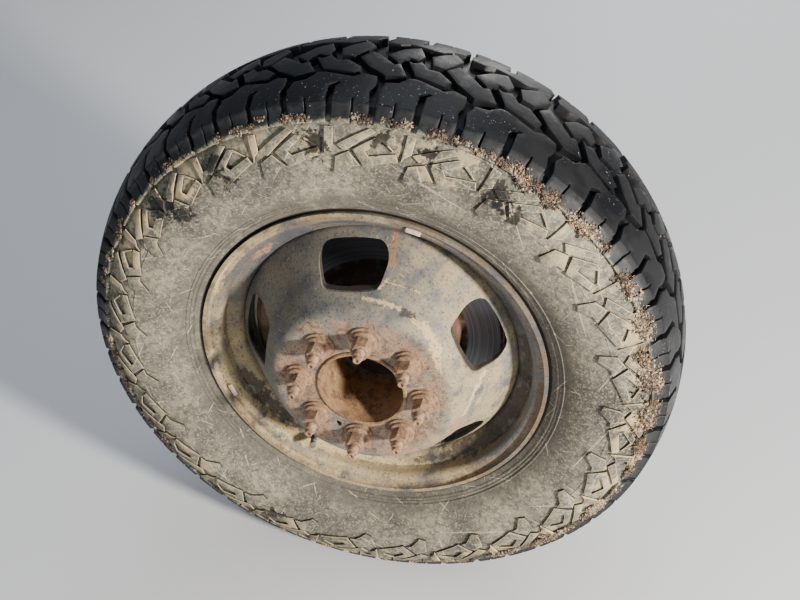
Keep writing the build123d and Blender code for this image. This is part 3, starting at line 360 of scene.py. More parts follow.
def make_scratches():
    inputs = [("Vector", "Vector", None), ("Scale", "Float", 12.0), ("Amount", "Float", 0.3)]
    tree, start, end = new_group("scratches", inputs, [("Mask", "Float")])
    low = calc(tree, "SUBTRACT", SCRATCH_LEVEL, calc(tree, "MULTIPLY", start["Amount"], 0.2))
    high = calc(tree, "ADD", low, SCRATCH_SOFT)
    mask = 0.0
    for lean in SCRATCH_LEANS:
        turned = add(tree, "VectorRotate", start["Vector"], settings={"rotation_type": "Y_AXIS"})
        turned.inputs["Angle"].default_value = math.radians(lean)
        drawn = vectors(tree, "MULTIPLY", turned.outputs[0], SCRATCH_STRETCH)[0]
        line = ramp(tree, noise(tree, drawn, start["Scale"], detail=1.0), low, high)
        mask = calc(tree, "MAXIMUM", mask, line)
    tree.links.new(mask, end["Mask"])
    return tree


def make_streaks():
    inputs = [("Round", "Vector", None), ("Radius", "Float", 0.1), ("Count", "Float", 40.0)]
    tree, start, end = new_group("streaks", inputs, [("Mask", "Float")])
    lift = add(tree, "CombineXYZ", 0.0, calc(tree, "MULTIPLY", start["Radius"], 2.0), 0.0)
    place = vectors(tree, "ADD", start["Round"], lift.outputs[0])[0]
    cloud = noise(tree, place, start["Count"], detail=5.0, roughness=0.6)
    tree.links.new(ramp(tree, cloud, 0.48, 0.66), end["Mask"])
    return tree


BLOTCH = make_blotch()
SMEAR = make_smear()
SCRATCHES = make_scratches()
STREAKS = make_streaks()
print("groups for masks", len(bpy.data.node_groups))

# %% [markdown]
# The colours of rubber, paint, dust and rust are all kept in one table, so that the same dust lies
# on the tyre and on the wheel.

# %% Colours
RUBBER_BLACK = tint(22, 22, 24)
RUBBER_WET = tint(13, 13, 15)
RUBBER_WALL_AND_SHADE = tint(44, 42, 38)
SHOULDER_FILM = tint(40, 41, 44)
DUST_OLIVE = tint(112, 109, 97)
DUST_TAN = tint(148, 141, 121)
DUST_DARK = tint(62, 60, 55)
DUST_CREAM = tint(214, 204, 176)
DUST_WARM = tint(196, 176, 138)
RIM_DUST = tint(92, 86, 78)
ROAD_DUST = tint(182, 162, 122)
SPECK_WHITE = tint(214, 214, 210)
MUD_CREAM = tint(206, 182, 136)
MUD_BROWN = tint(116, 92, 68)
# Painted shadow in the rim's gutter.
GUTTER_SHADOW = tint(72, 64, 56)
PAINT_DARK = tint(84, 86, 89)
PAINT_GREY = tint(120, 117, 110)
RIM_GREY = tint(108, 101, 94)
RUST_ORANGE = tint(148, 108, 80)
RUST_BROWN = tint(94, 68, 52)
RUST_PINK = tint(160, 130, 107)
RUST_BLACK = tint(46, 38, 34)
STEEL_GREY = tint(128, 124, 120)
# The swept ring's pale, slightly blue colour is partly painted reflection of a bright sky on polished
# steel.
SWEPT_PALE_AND_REFLECTION = tint(192, 196, 204)
SWEPT_DARK = tint(150, 153, 160)
WEIGHT_PALE = tint(208, 192, 184)
print("rubber is", round(RUBBER_BLACK[0], 4), "and cream dust", round(DUST_CREAM[0], 3))

# %% [markdown]
# A finish is built in layers, as it is in life: the bare surface, then rust, then dust and mud on
# top. `Finish` holds the colour, roughness and height reached so far, and each call to `cover`
# lays one more layer over them where a mask says. Heights are in metres, and a Bump node turns
# them into small dents and lumps in the light.

# %% Layered finishes
SMEAR_STRENGTH = 0.8
SMEAR_ROUGHNESS = 0.88
SMEAR_HEIGHT = 0.0001


class Finish:
    def __init__(self, name, colour, roughness=0.6, metallic=0.0):
        self.material = bpy.data.materials.new(name)
        self.material.use_nodes = True
        self.tree = self.material.node_tree
        self.shader = self.tree.nodes["Principled BSDF"]
        self.shader.inputs["Metallic"].default_value = metallic
        self.place = add(self.tree, "TexCoord").outputs["Object"]
        self.colour = colour
        self.roughness = roughness
        self.height = 0.0

    def mask(self, group, **named):
        return use_group(self.tree, group, **named)["Mask"]

    def mottle(self, scale, low, high, detail=6.0):
        return self.mask(MOTTLE, Vector=self.place, Scale=scale, Low=low, High=high, Detail=detail)

    def band(self, value, start, end, soft):
        return self.mask(BAND, Value=value, Start=start, End=end, Soft=soft)

    def blotch(self, centre, size):
        return self.mask(BLOTCH, Vector=self.place, Centre=tuple(centre), Size=size)

    def smear(self, start, finish, width):
        ends = {"Start": tuple(start), "End": tuple(finish)}
        return self.mask(SMEAR, Vector=self.place, Width=width, Scale=0.6 / width, **ends)

    def scratches(self, scale, amount):
        return self.mask(SCRATCHES, Vector=self.place, Scale=scale, Amount=amount)

    def wheel_place(self):
        return use_group(self.tree, WHEEL_PLACE, Vector=self.place)

    def axes(self):
        return add(self.tree, "SeparateXYZ", self.place).outputs

    def times(self, *masks):
        result = masks[0]
        for mask in masks[1:]:
            result = calc(self.tree, "MULTIPLY", result, mask)
        return result

    def most(self, first, second):
        return calc(self.tree, "MAXIMUM", first, second)

    def blend(self, mask, first, second):
        node = add(self.tree, "Mix", mask, settings={"data_type": "FLOAT"})
        fill_input(self.tree, node.inputs[2], first)
        fill_input(self.tree, node.inputs[3], second)
        return node.outputs[0]

    def cover(self, colour, mask, roughness=None, height=None):
        self.colour = mix_colours(self.tree, mask, self.colour, colour)
        if roughness is not None:
            self.roughness = self.blend(mask, self.roughness, roughness)
        if height is not None:
            self.height = calc(self.tree, "MULTIPLY_ADD", mask, height, self.height)

    def patches(self, colour, scale, low, high, strength=1.0, roughness=None, height=None):
        """Covers mottled patches. strength is a number, or a mask for where they lie."""
        mask = self.times(self.mottle(scale, low, high), strength)
        self.cover(colour, mask, roughness=roughness, height=height)

    def strokes(self, places, width, colour):
        """Mud or rust smeared from place to place."""
        for start, finish in zip(places, places[1:]):
            mask = self.times(self.smear(start, finish, width), SMEAR_STRENGTH)
            self.cover(colour, mask, roughness=SMEAR_ROUGHNESS, height=SMEAR_HEIGHT)

    def speckle(self, amount):
        """Fine dark and pale grains, as old paint and dust have close up."""
        self.patches(RUST_BLACK, 330.0, 0.52, 0.66, strength=amount * 0.7)
        self.patches(SPECK_WHITE, 380.0, 0.63, 0.72, strength=amount * 0.6, roughness=0.85)

    def grain(self, scale, height):
        cloud = noise(self.tree, self.place, scale, detail=4.0, roughness=0.6)
        self.height = calc(self.tree, "MULTIPLY_ADD", cloud, height, self.height)

    def done(self):
        fill_input(self.tree, self.shader.inputs["Base Color"], self.colour)
        fill_input(self.tree, self.shader.inputs["Roughness"], self.roughness)
        bump = add(self.tree, "Bump", Strength=1.0, Distance=1.0, Height=self.height)
        self.tree.links.new(bump.outputs["Normal"], self.shader.inputs["Normal"])
        return self.material


print("a finish can", ", ".join(name for name in vars(Finish) if not name.startswith("_")))

# %% [markdown]
# Rubber. The tread is near black and slightly wet, while the sidewall carries a film of dried mud
# that hides its black, with darker wet patches and cream scratches where grass has dragged. One
# function makes both, because on the tyre the one turns into the other at the shoulder.

# %% Tyre rubber
RUBBER_SPECULAR = 0.35
SIDE_ACROSS = -0.11
EDGE_WANDER = 0.004
DUST_FROM_R = 0.3700
FACE_END_R = 0.3880
NEAR_RIM_R = (0.285, 0.262)
CAKED_FROM_R = (0.300, 0.335)
# The radii of a painted shadow where the tyre meets the rim's lip.
SHADOW_SEAM_R = (0.2348, 0.2402)
CAKED_PATCHES = [
    # angle, radius, size in metres
    (112.0, 0.354, 0.016),
    (128.0, 0.356, 0.020),
    (132.0, 0.340, 0.014),
    (146.0, 0.352, 0.020),
    (155.0, 0.342, 0.018),
    (84.0, 0.352, 0.012),
    (70.0, 0.360, 0.014),
    (20.0, 0.356, 0.016),
    (-2.0, 0.352, 0.022),
    (-22.0, 0.356, 0.018),
    (-44.0, 0.358, 0.020),
    (-58.0, 0.360, 0.018),
    (-72.0, 0.360, 0.016),
]
WET_PATCHES = [
    # angle, radius, size in metres
    (99.5, 0.345, 0.016),
    (86.5, 0.357, 0.013),
    (77.0, 0.350, 0.010),
    (62.0, 0.342, 0.018),
    (57.5, 0.331, 0.012),
    (139.0, 0.345, 0.020),
    (136.5, 0.318, 0.013),
    (122.0, 0.346, 0.012),
    (120.5, 0.320, 0.010),
    (244.0, 0.335, 0.014),
]


def dust_film(rubber):
    """The dried film on the sidewall: olive to tan, with darker clouds and pale grains."""
    film = mix_colours(rubber.tree, rubber.mottle(14.0, 0.36, 0.66), DUST_OLIVE, DUST_TAN)
    film = mix_colours(rubber.tree, rubber.mottle(6.0, 0.42, 0.68), film, DUST_DARK)
    small_clouds = rubber.times(rubber.mottle(130.0, 0.42, 0.62), 0.6)
    film = mix_colours(rubber.tree, small_clouds, film, DUST_DARK)
    grains = rubber.times(rubber.mottle(330.0, 0.5, 0.66), 0.36)
    return mix_colours(rubber.tree, grains, film, DUST_CREAM)


def tyre_rubber(name, cream):
    """cream is how much pale dust lies on this part of the tyre, from 0 to 1; on the pattern's bevels the
    full amount is partly painted highlight.
    """
    rubber = Finish(name, RUBBER_BLACK, roughness=0.56)
    rubber.shader.inputs["Specular IOR Level"].default_value = RUBBER_SPECULAR
    tree = rubber.tree
    radius = rubber.wheel_place()["Radius"]
    rubber.patches(RUBBER_WET, 16.0, 0.42, 0.62, roughness=0.36)
    specks = rubber.times(rubber.mottle(430.0, 0.69, 0.73, 2.0), rubber.mottle(16.0, 0.5, 0.6))
    rubber.cover(SPECK_WHITE, specks, roughness=0.8)
    ragged = calc(tree, "MULTIPLY_ADD", rubber.mottle(90.0, 0.2, 0.8), EDGE_WANDER, radius)
    face = rubber.band(ragged, DUST_FROM_R, FACE_END_R, soft=0.0015)
    rubber.patches(SHOULDER_FILM, 90.0, 0.3, 0.6, strength=rubber.times(face, 0.75), roughness=0.7)
    side = ramp(tree, ragged, DUST_FROM_R + EDGE_WANDER, DUST_FROM_R)
    rubber.cover(dust_film(rubber), side, roughness=0.86)
    near_rim = ramp(tree, ragged, *NEAR_RIM_R)
    rubber.patches(RIM_DUST, 50.0, 0.25, 0.6, strength=rubber.times(near_rim, 0.75), roughness=0.8)
    scratched = rubber.times(rubber.scratches(scale=8.0, amount=0.13), side, 0.6)
    rubber.cover(DUST_CREAM, scratched, roughness=0.9)
    outer = rubber.times(side, ramp(tree, radius, *CAKED_FROM_R), 0.5 + 0.35 * cream)
    levels = (0.62 - 0.3 * cream, 0.72 - 0.25 * cream)
    rubber.patches(DUST_WARM, 26.0, *levels, strength=outer, roughness=0.9, height=0.0003)
    for angle, place_r, size in CAKED_PATCHES:
        cake = rubber.blotch(at_wheel(place_r, angle, SIDE_ACROSS), size)
        rubber.cover(DUST_WARM, rubber.times(cake, 0.5 + 0.25 * cream), roughness=0.9)
    for angle, place_r, size in WET_PATCHES:
        wet = rubber.blotch(at_wheel(place_r, angle, SIDE_ACROSS), size)
        rubber.cover(RUBBER_WET, rubber.times(wet, 0.88), roughness=0.38)
    # A thin dark band where the tyre meets the rim's lip is painted shadow of the gap between them.
    painted_shadow_seam = rubber.band(radius, *SHADOW_SEAM_R, soft=0.0005)
    rubber.cover(RUBBER_WET, rubber.times(painted_shadow_seam, 0.9), roughness=0.6)
    rubber.grain(scale=900.0, height=0.00010)
    rubber.grain(scale=160.0, height=0.00035)
    return rubber.done()


def plain_rubber(name, colour, dust):
    rubber = Finish(name, colour, roughness=0.62)
    rubber.patches(dust, 30.0, 0.45, 0.65, strength=0.7, roughness=0.88)
    rubber.grain(scale=400.0, height=0.0002)
    return rubber.done()


TYRE_RUBBER = tyre_rubber("tyre_rubber", 0.1)
TYRE_RAISED = tyre_rubber("tyre_raised", 0.35)
# The pattern's bevels take the palest dust, which is partly painted highlight, and its walls take a dark
# rubber that is partly painted shade.
TYRE_EDGE_DUST_AND_HIGHLIGHT = tyre_rubber("tyre_edge_dust_and_highlight", 1.0)
TYRE_WALL_AND_SHADE = plain_rubber("tyre_wall_and_shade", RUBBER_WALL_AND_SHADE, DUST_DARK)
print("nodes in the tyre's rubber", len(TYRE_RUBBER.node_tree.nodes))

# %% [markdown]
# The tyre's section is three arcs and a short straight bevel. One arc is the nearly flat crown of
# the tread, the bevel is its shoulder, and two arcs are the upper and lower sidewall, which both
# stand upright at the widest place. Walking along the section from the middle of the tread gives
# each place a distance, so the tread can be drawn flat and then wrapped on.

# %% The tyre's outline
WIDEST_R = 0.320
SHOULDER_R = 0.388
SHOULDER_HALF = 0.088
BEVEL_FOOT = (0.380, 0.091)
RIM_LEAVE = (0.2373, 0.0824)
OUTLINE_STEPS = 60
MERGE_GAP = 1e-6


def arc_radius(along, rise):
    return (along * along + rise * rise) / (2 * rise)


def tyre_outline():
    crown = arc_radius(SHOULDER_HALF, TYRE_R - SHOULDER_R)
    upper = arc_radius(BEVEL_FOOT[0] - WIDEST_R, HALF_WIDTH - BEVEL_FOOT[1])
    lower = arc_radius(WIDEST_R - RIM_LEAVE[0], HALF_WIDTH - RIM_LEAVE[1])
    points = []
    for i in range(OUTLINE_STEPS):
        turn = math.asin(SHOULDER_HALF / crown) * i / (OUTLINE_STEPS - 1)
        points.append((TYRE_R - crown + crown * math.cos(turn), crown * math.sin(turn)))
    for radius, top, sign in ((upper, BEVEL_FOOT[0] - WIDEST_R, 1), (lower, WIDEST_R - RIM_LEAVE[0], -1)):
        full = math.asin(top / radius)
        for i in range(OUTLINE_STEPS):
            share = i / (OUTLINE_STEPS - 1)
            turn = full * (1 - share) if sign > 0 else full * share
            points.append(
                (WIDEST_R + sign * radius * math.sin(turn), HALF_WIDTH - radius * (1 - math.cos(turn)))
            )
    kept = [points[0]] + [b for a, b in zip(points, points[1:]) if math.dist(a, b) > MERGE_GAP]
    return np.array(kept)


OUTLINE = tyre_outline()
OUTLINE_AT = np.concatenate([[0.0], np.cumsum(np.hypot(*np.diff(OUTLINE, axis=0).T))])
SLOPE = np.gradient(OUTLINE, OUTLINE_AT, axis=0)
SHOULDER_AT = float(np.interp(SHOULDER_HALF, OUTLINE[:OUTLINE_STEPS, 1], OUTLINE_AT[:OUTLINE_STEPS]))


def distance_of_radius(radius):
    """How far along the outline the sidewall reaches this radius."""
    outer = OUTLINE[OUTLINE_STEPS:]
    return float(np.interp(-radius, -outer[:, 0], OUTLINE_AT[OUTLINE_STEPS:]))


def wrap_on_tyre(flat):
    """Flat rows of (round, across, height) in metres become points on the tyre."""
    turn = flat[:, 0] / TYRE_R
    along = np.abs(flat[:, 1])
    side = np.where(flat[:, 1] < 0, -1.0, 1.0)
    radius = np.interp(along, OUTLINE_AT, OUTLINE[:, 0])
    across = np.interp(along, OUTLINE_AT, OUTLINE[:, 1])
    slope_r = np.interp(along, OUTLINE_AT, SLOPE[:, 0])
    slope_y = np.interp(along, OUTLINE_AT, SLOPE[:, 1])
    size = np.hypot(slope_r, slope_y)
    radius = radius + flat[:, 2] * slope_y / size
    across = across - flat[:, 2] * slope_r / size
    return np.stack([radius * np.cos(turn), WHEEL_Y + side * across, radius * np.sin(turn)], axis=1)


def wrap(bm):
    flat = np.array([v.co[:] for v in bm.verts])
    for vert, place in zip(bm.verts, wrap_on_tyre(flat)):
        vert.co = place
    bmesh.ops.recalc_face_normals(bm, faces=bm.faces)


print("outline", len(OUTLINE), "shoulder at", round(SHOULDER_AT, 4), "end at", round(OUTLINE_AT[-1], 4))

# %% [markdown]
# Every new piece needs the same few steps, so they are written once. `everything` and `verts_of`
# pick parts of a bmesh, `join_in` adds one bmesh to another, and `finish_piece` makes the mesh,
# gives it its materials, keeps edges sharper than a given angle crisp, and lets it ride the wheel.

# %% Working on a piece


def everything(bm):
    return bm.verts[:] + bm.edges[:] + bm.faces[:]


def verts_of(geom):
    return [g for g in geom if isinstance(g, bmesh.types.BMVert)]


def join_in(target, source):
    mesh = bpy.data.meshes.new("passing")
    source.to_mesh(mesh)
    source.free()
    target.from_mesh(mesh)
    bpy.data.meshes.remove(mesh)


def finish_piece(bm, name, materials, sharp=35.0):
    mesh = bpy.data.meshes.new(name)
    bm.to_mesh(mesh)
    bm.free()
    for material in materials:
        mesh.materials.append(material)
    mesh.shade_smooth()
    mesh.set_sharp_from_angle(angle=math.radians(sharp))
    piece = bpy.data.objects.new(name, mesh)
    bpy.context.scene.collection.objects.link(piece)
    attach(piece, "wheel")
    print(name, "triangles", sum(len(p.vertices) - 2 for p in mesh.polygons))
    return piece


# %% [markdown]
# The tread's pitches differ in length round the tyre, so one pitch is drawn flat, 15 degrees long,
# and each copy of it is stretched to its own length. The first twelve are the mixed ones that show
# from outside, and the rest share what is left of the circle.

# %% The pitches
DRAWN_PITCH = 15.0
FIRST_EDGE = 9.8
MIXED_PITCHES = [15.0, 14.9, 17.0, 16.9, 15.3, 16.1, 14.0, 12.3, 13.3, 13.0, 14.5, 15.0]
EVEN_PITCHES = 12
DEGREE = TYRE_R * math.radians(1)
MM = 0.001


def pitch_places():
    """The angle of each full groove, and how far the pitch clockwise of it is stretched."""
    even = (360 - sum(MIXED_PITCHES)) / EVEN_PITCHES
    edge = FIRST_EDGE
    places = []
    for pitch in MIXED_PITCHES + [even] * EVEN_PITCHES:
        edge += pitch
        places.append((edge, pitch / DRAWN_PITCH))
    return places


def repeat_round(bm, shift=0.0):
    """Copies one flat pitch round the tyre, each copy stretched to its pitch."""
    first = everything(bm)
    places = pitch_places()
    groups = [verts_of(first)]
    for _ in places[1:]:
        groups.append(verts_of(bmesh.ops.duplicate(bm, geom=first)["geom"]))
    for verts, (edge, stretch) in zip(groups, places):
        for vert in verts:
            vert.co.x = (edge + shift) * DEGREE + vert.co.x * stretch


print("pitches", len(pitch_places()), "the last groove at", round(pitch_places()[-1][0] - 360, 2))

# %% [markdown]
# The outlines of one pitch are in degrees clockwise from a full groove and millimetres across, and
# each is extruded into a block with its top edge bevelled. A large shoulder block is split by a
# full groove, a hooked notch and two thin sipes. The same block, turned half round, is the inner
# shoulder, and narrow slanted blocks fill the middle. The blocks are cut across in cells, so that
# they bend smoothly when they are wrapped.

# %% One pitch of tread
TREAD_DEPTH = 0.0105
BLOCK_ROOT = 0.001
STEP_R = 0.3675
BLOCK_END = distance_of_radius(STEP_R) / MM
BLOCK_EDGE = 0.0010
CELL = 0.0085
TREAD_REACH = 0.112
SHOULDER_BLOCK = [
    # degrees clockwise from the groove, millimetres across
    (0.64, BLOCK_END),
    (0.6, 86.0),
    (0.14, 70.0),
    (0.84, 60.0),
    (0.85, 55.0),
    (3.0, 52.0),
    (4.6, 40.0),
    (5.7, 39.5),
    (9.0, 46.0),
    (10.5, 48.5),
    (12.1, 42.0),
    (14.3, 45.0),
    (14.5, 51.0),
    (14.5, 60.0),
    (13.86, 70.0),
    (14.3, 86.0),
    (14.36, BLOCK_END),
    (11.8, BLOCK_END),
    (11.72, 84.0),
    (11.5, 84.0),
    (11.4, BLOCK_END),
    (8.25, BLOCK_END),
    (8.2, 66.0),
    (9.0, 60.5),
    (8.3, 59.0),
    (7.1, 64.0),
    (7.05, BLOCK_END),
    (3.9, BLOCK_END),
    (3.82, 85.0),
    (3.6, 85.0),
    (3.5, BLOCK_END),
]
TURNED_SHIFT = 12.5
MIDDLE_BLOCKS = [
    # degrees clockwise from the groove, millimetres across with the outer side negative
    [
        (-4.9, -6.5), (-3.2, 11.5), (-1.2, -1.0), (1.1, -17.0),
        (2.1, -13.0), (3.9, -38.0), (0.5, -42.5), (-2.7, -27.0),
    ],
    [
        (3.1, -4.0), (4.1, -7.5), (5.4, -1.0), (6.8, -14.0),
        (8.7, -13.5), (11.2, -28.5), (10.4, -41.0), (5.1, -32.5),
    ],
    [(-0.6, 4.0), (1.6, 27.5), (4.1, 40.5), (5.5, 14.5), (4.7, -1.0), (3.2, 4.5), (1.6, -11.0)],
    [(6.5, 19.0), (8.2, 34.0), (10.0, 47.5), (11.8, 28.5), (10.6, 9.0), (9.3, -5.0), (7.2, -2.5)],
]


def add_block(bm, outline, depth, edge, edge_material=0):
    """A flat outline in metres, made solid down to a depth, with its top edge bevelled."""
    lid = bm.faces.new([bm.verts.new((x, y, 0.0)) for x, y in outline])
    if sum(a[0] * b[1] - b[0] * a[1] for a, b in zip(outline, outline[1:] + outline[:1])) < 0:
        lid.normal_flip()
    made = bmesh.ops.extrude_face_region(bm, geom=[lid], use_keep_orig=True)["geom"]
    bmesh.ops.translate(bm, verts=verts_of(made), vec=(0.0, 0.0, -depth))
    made = bmesh.ops.bevel(
        bm,
        geom=list(lid.edges),
        offset=edge,
        offset_type="OFFSET",
        segments=2,
        profile=0.5,
        affect="EDGES",
        clamp_overlap=True,
        material=-1,
    )
    for face in made["faces"]:
        face.material_index = edge_material


def cut_at(bm, place, way, clear_outer=False):
    return bmesh.ops.bisect_plane(
        bm,
        geom=everything(bm),
        dist=MERGE_GAP,
        plane_co=place,
        plane_no=way,
        clear_outer=clear_outer,
    )


def cut_in_cells(bm, length, reach, lines=()):
    low = min(v.co.x for v in bm.verts)
    high = max(v.co.x for v in bm.verts)
    for x in np.arange(low + length, high, length):
        cut_at(bm, (x, 0, 0), (1, 0, 0))
    for y in list(np.arange(-reach, reach, length)) + list(lines):
        cut_at(bm, (0, y, 0), (0, 1, 0))


def tread_pitch():
    bm = bmesh.new()
    outlines = [
        [(-degrees * DEGREE, -across * MM) for degrees, across in SHOULDER_BLOCK],
        [((degrees - TURNED_SHIFT) * DEGREE, across * MM) for degrees, across in SHOULDER_BLOCK],
    ]
    for block in MIDDLE_BLOCKS:
        outlines.append([(-degrees * DEGREE, across * MM) for degrees, across in block])
    for outline in outlines:
        add_block(bm, outline, TREAD_DEPTH + BLOCK_ROOT, BLOCK_EDGE)
    bevel_at = distance_of_radius(BEVEL_FOOT[0])
    cut_in_cells(bm, CELL, TREAD_REACH, (SHOULDER_AT, -SHOULDER_AT, bevel_at, -bevel_at))
    return bm


blocks = tread_pitch()
print("faces in one pitch", len(blocks.faces))

# %% [markdown]
# The sidewall's outer band has a raised pattern that bites into mud. One repeat, measured from the
# left corner of its diamond, is a diamond with a sunk pocket, an upright bar, a slanted bar and a
# small block between them. It keeps step with the tread. The bevels carry more pale dust than the
# faces, which is partly painted highlight. The walls stay dark, partly as bare rubber and partly as
# painted shade, so each gets its own material.

# %% One repeat of the sidewall pattern
PATTERN_SHIFT = 2.9
PATTERN_RISE = 0.0038
PATTERN_ROOT = 0.0006
PATTERN_EDGE = 0.0008
PATTERN_CELL = 0.011
SIDEWALL_SET_BACK = 0.0038
RAISED, EDGE_DUST_AND_HIGHLIGHT, DARK_WALL_AND_SHADE = 1, 2, 3
PATTERN = [
    # corners in degrees round, clockwise negative, and millimetres from the wheel's centre
    [
        (-8.1, 344.2), (-5.7, 355.2), (-4.5, 356.9), (0.0, 340.5), (-2.3, 320.0), (-9.0, 333.8),
        (-8.4, 342.4), (-8.1, 341.6), (-3.2, 334.1), (-2.5, 339.8), (-5.5, 352.6), (-7.9, 343.6),
    ],
    [(-3.0, 364.2), (-4.2, 361.1), (1.6, 337.9), (3.2, 344.9)],
    [(-9.8, 364.2), (-11.4, 363.6), (-11.3, 345.0), (-10.1, 339.8), (-9.5, 333.1)],
    [(3.5, 331.0), (0.8, 338.2), (-1.5, 321.3), (0.0, 319.8), (2.6, 305.2), (4.3, 308.8)],
]


def pattern_repeat(side):
    """side is 1 for the outer sidewall and -1 for the inner one."""
    bm = bmesh.new()
    for outline in PATTERN:
        points = []
        for degrees, radius in outline:
            points.append((degrees * DEGREE, -side * distance_of_radius(radius * MM)))
        add_block(bm, points, PATTERN_RISE + PATTERN_ROOT, PATTERN_EDGE, EDGE_DUST_AND_HIGHLIGHT)
    # Bevel faces get the pale material, partly painted highlight; upright walls get the dark one, partly
    # painted shade.
    for face in bm.faces:
        if face.material_index != EDGE_DUST_AND_HIGHLIGHT:
            face.material_index = DARK_WALL_AND_SHADE if abs(face.normal.z) < 0.3 else RAISED
    cut_in_cells(bm, PATTERN_CELL, 0.0)
    return bm


patterns = [pattern_repeat(side) for side in (1, -1)]
print("faces in one repeat", [len(bm.faces) for bm in patterns])

# %% [markdown]
# Under the blocks lies the carcass: the outline set back by the tread's depth, then by a small
# step on the sidewall, with fine ribs near the rim, and closed by the bead and the inner liner.
# It is one closed section, spun once round the wheel's axis.

# %% The carcass
CARCASS_STEPS = 200
OUTLINE_STOPS = 42
SHOULDER_SET_BACK = 0.0055
BEAD_POINTS = [
    # radius, across
    (0.2345, 0.0805),
    (0.2295, 0.0765),
    (0.2255, 0.0761),
    (0.2193, 0.0700),
    (0.2172, 0.0592),
    (0.2400, 0.0652),
    (0.2600, 0.0880),
    (0.2880, 0.1035),
    (0.3200, 0.1085),
    (0.3450, 0.1010),
    (0.3630, 0.0750),
    (0.3760, 0.0400),
]
RIM_RIBS = [(0.2465, 0.0007), (0.2505, 0.0007), (0.2545, 0.0010), (0.3235, 0.0006)]
RIB_HALF = 0.0007


def set_back(along):
    """How far the carcass lies under the outline at a distance from the middle of the tread."""
    block_end = BLOCK_END * MM
    depths = [
        # distance, depth
        (0.0, TREAD_DEPTH),
        (SHOULDER_AT - 0.006, TREAD_DEPTH),
        (block_end - 0.001, SHOULDER_SET_BACK),
        (block_end + 0.004, SIDEWALL_SET_BACK),
        (OUTLINE_AT[-1] - 0.02, SIDEWALL_SET_BACK),
        (OUTLINE_AT[-1], 0.0),
    ]
    return float(np.interp(along, *zip(*depths)))


def carcass_section():
    rows = [(0.0, s, -set_back(s)) for s in np.linspace(0.0, OUTLINE_AT[-1], OUTLINE_STOPS)]
    for radius, rise in RIM_RIBS:
        middle = distance_of_radius(radius)
        for offset, share in ((-2 * RIB_HALF, 0), (-RIB_HALF, 1), (RIB_HALF, 1), (2 * RIB_HALF, 0)):
            rows.append((0.0, middle + offset, rise * share - set_back(middle + offset)))
    outer = [(p[0], p[1] - WHEEL_Y) for p in wrap_on_tyre(np.array(sorted(rows)))]
    return outer + BEAD_POINTS


def carcass():
    half = carcass_section()
    other = [(r, -y) for r, y in reversed(half) if abs(y) > MERGE_GAP]
    bm = bmesh.new()
    verts = [bm.verts.new((r, WHEEL_Y + y, 0.0)) for r, y in half + other]
    edges = [bm.edges.new(pair) for pair in zip(verts, verts[1:] + verts[:1])]
    bmesh.ops.spin(
        bm,
        geom=verts + edges,
        cent=HUB_CENTRE,
        axis=AXIS,
        angle=math.tau,
        steps=CARCASS_STEPS,
        use_merge=True,
    )
    bmesh.ops.recalc_face_normals(bm, faces=bm.faces)
    return bm


def make_tyre():
    bm = carcass()
    for flat, shift in [(blocks, 0.0)] + [(pattern, PATTERN_SHIFT) for pattern in patterns]:
        repeat_round(flat, shift)
        wrap(flat)
        join_in(bm, flat)
    tyre = finish_piece(bm, "tyre_dressed", [TYRE_RUBBER, TYRE_RAISED, TYRE_EDGE_DUST_AND_HIGHLIGHT, TYRE_WALL_AND_SHADE])
    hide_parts("tyre")


make_tyre()

# %% [markdown]
# The disc's grey paint is worn dark at the upper left and dusty on the right, with rust where the
# nuts stand. Mud was smeared on it, so its marks are a table of strokes. The walls of the hand holes
# get painted shade. They lie behind the disc's outer face, so a depth behind that face darkens them,
# and a band of radii keeps this to the cone that the holes are cut in.

# %% Disc paint
DISC_SLOPE = 93 / 70
FLAT_R = 0.121
FLAT_ACROSS = -0.139
RUST_END_R = (0.128, 0.116)
RUST_WANDER = 0.016
HOLES_R = (0.133, 0.182)
HOLE_SHADE_DEPTH = (0.0028, 0.0042)
DISC_MARKS = [
    # from angle and radius, to angle and radius, width, colour
    (90.0, 0.134, 81.1, 0.134, 0.0022, MUD_CREAM),
    (81.1, 0.134, 70.0, 0.134, 0.0036, MUD_CREAM),
    (67.5, 0.133, 61.6, 0.132, 0.0052, RUST_BLACK),
    (60.5, 0.131, 48.8, 0.127, 0.0034, MUD_CREAM),
    (54.0, 0.133, 38.0, 0.126, 0.0048, MUD_CREAM),
    (43.5, 0.124, 30.0, 0.120, 0.0036, MUD_CREAM),
    (80.1, 0.150, 64.1, 0.152, 0.0012, MUD_CREAM),
    (83.0, 0.143, 80.5, 0.152, 0.0016, MUD_CREAM),
    (82.7, 0.192, 80.5, 0.165, 0.0044, RUST_ORANGE),
    (-26.0, 0.136, -70.0, 0.124, 0.0160, RUST_PINK),
    (172.0, 0.160, 158.0, 0.168, 0.0060, RUST_BROWN),
    (7.6, 0.154, -1.0, 0.143, 0.0040, MUD_CREAM),
    (-3.0, 0.142, -15.5, 0.137, 0.0036, MUD_CREAM),
    (3.0, 0.160, -12.0, 0.148, 0.0012, MUD_CREAM),
    (42.3, 0.120, 25.0, 0.113, 0.0026, MUD_CREAM),
    (0.0, 0.110, -6.0, 0.106, 0.0030, RUST_ORANGE),
]


def disc_across(radius):
    """Where the disc's outer face is: flat round the studs, then sloping in to the rim."""
    return FLAT_ACROSS + max(0.0, radius - FLAT_R) * DISC_SLOPE


def painted_hole_shade(paint, place):
    past_flat = paint.most(calc(paint.tree, "SUBTRACT", place["Radius"], FLAT_R), 0.0)
    face = calc(paint.tree, "MULTIPLY_ADD", past_flat, DISC_SLOPE, FLAT_ACROSS)
    depth = calc(paint.tree, "SUBTRACT", place["Across"], face)
    cone = paint.band(place["Radius"], *HOLES_R, soft=0.002)
    return paint.times(cone, ramp(paint.tree, depth, *HOLE_SHADE_DEPTH))


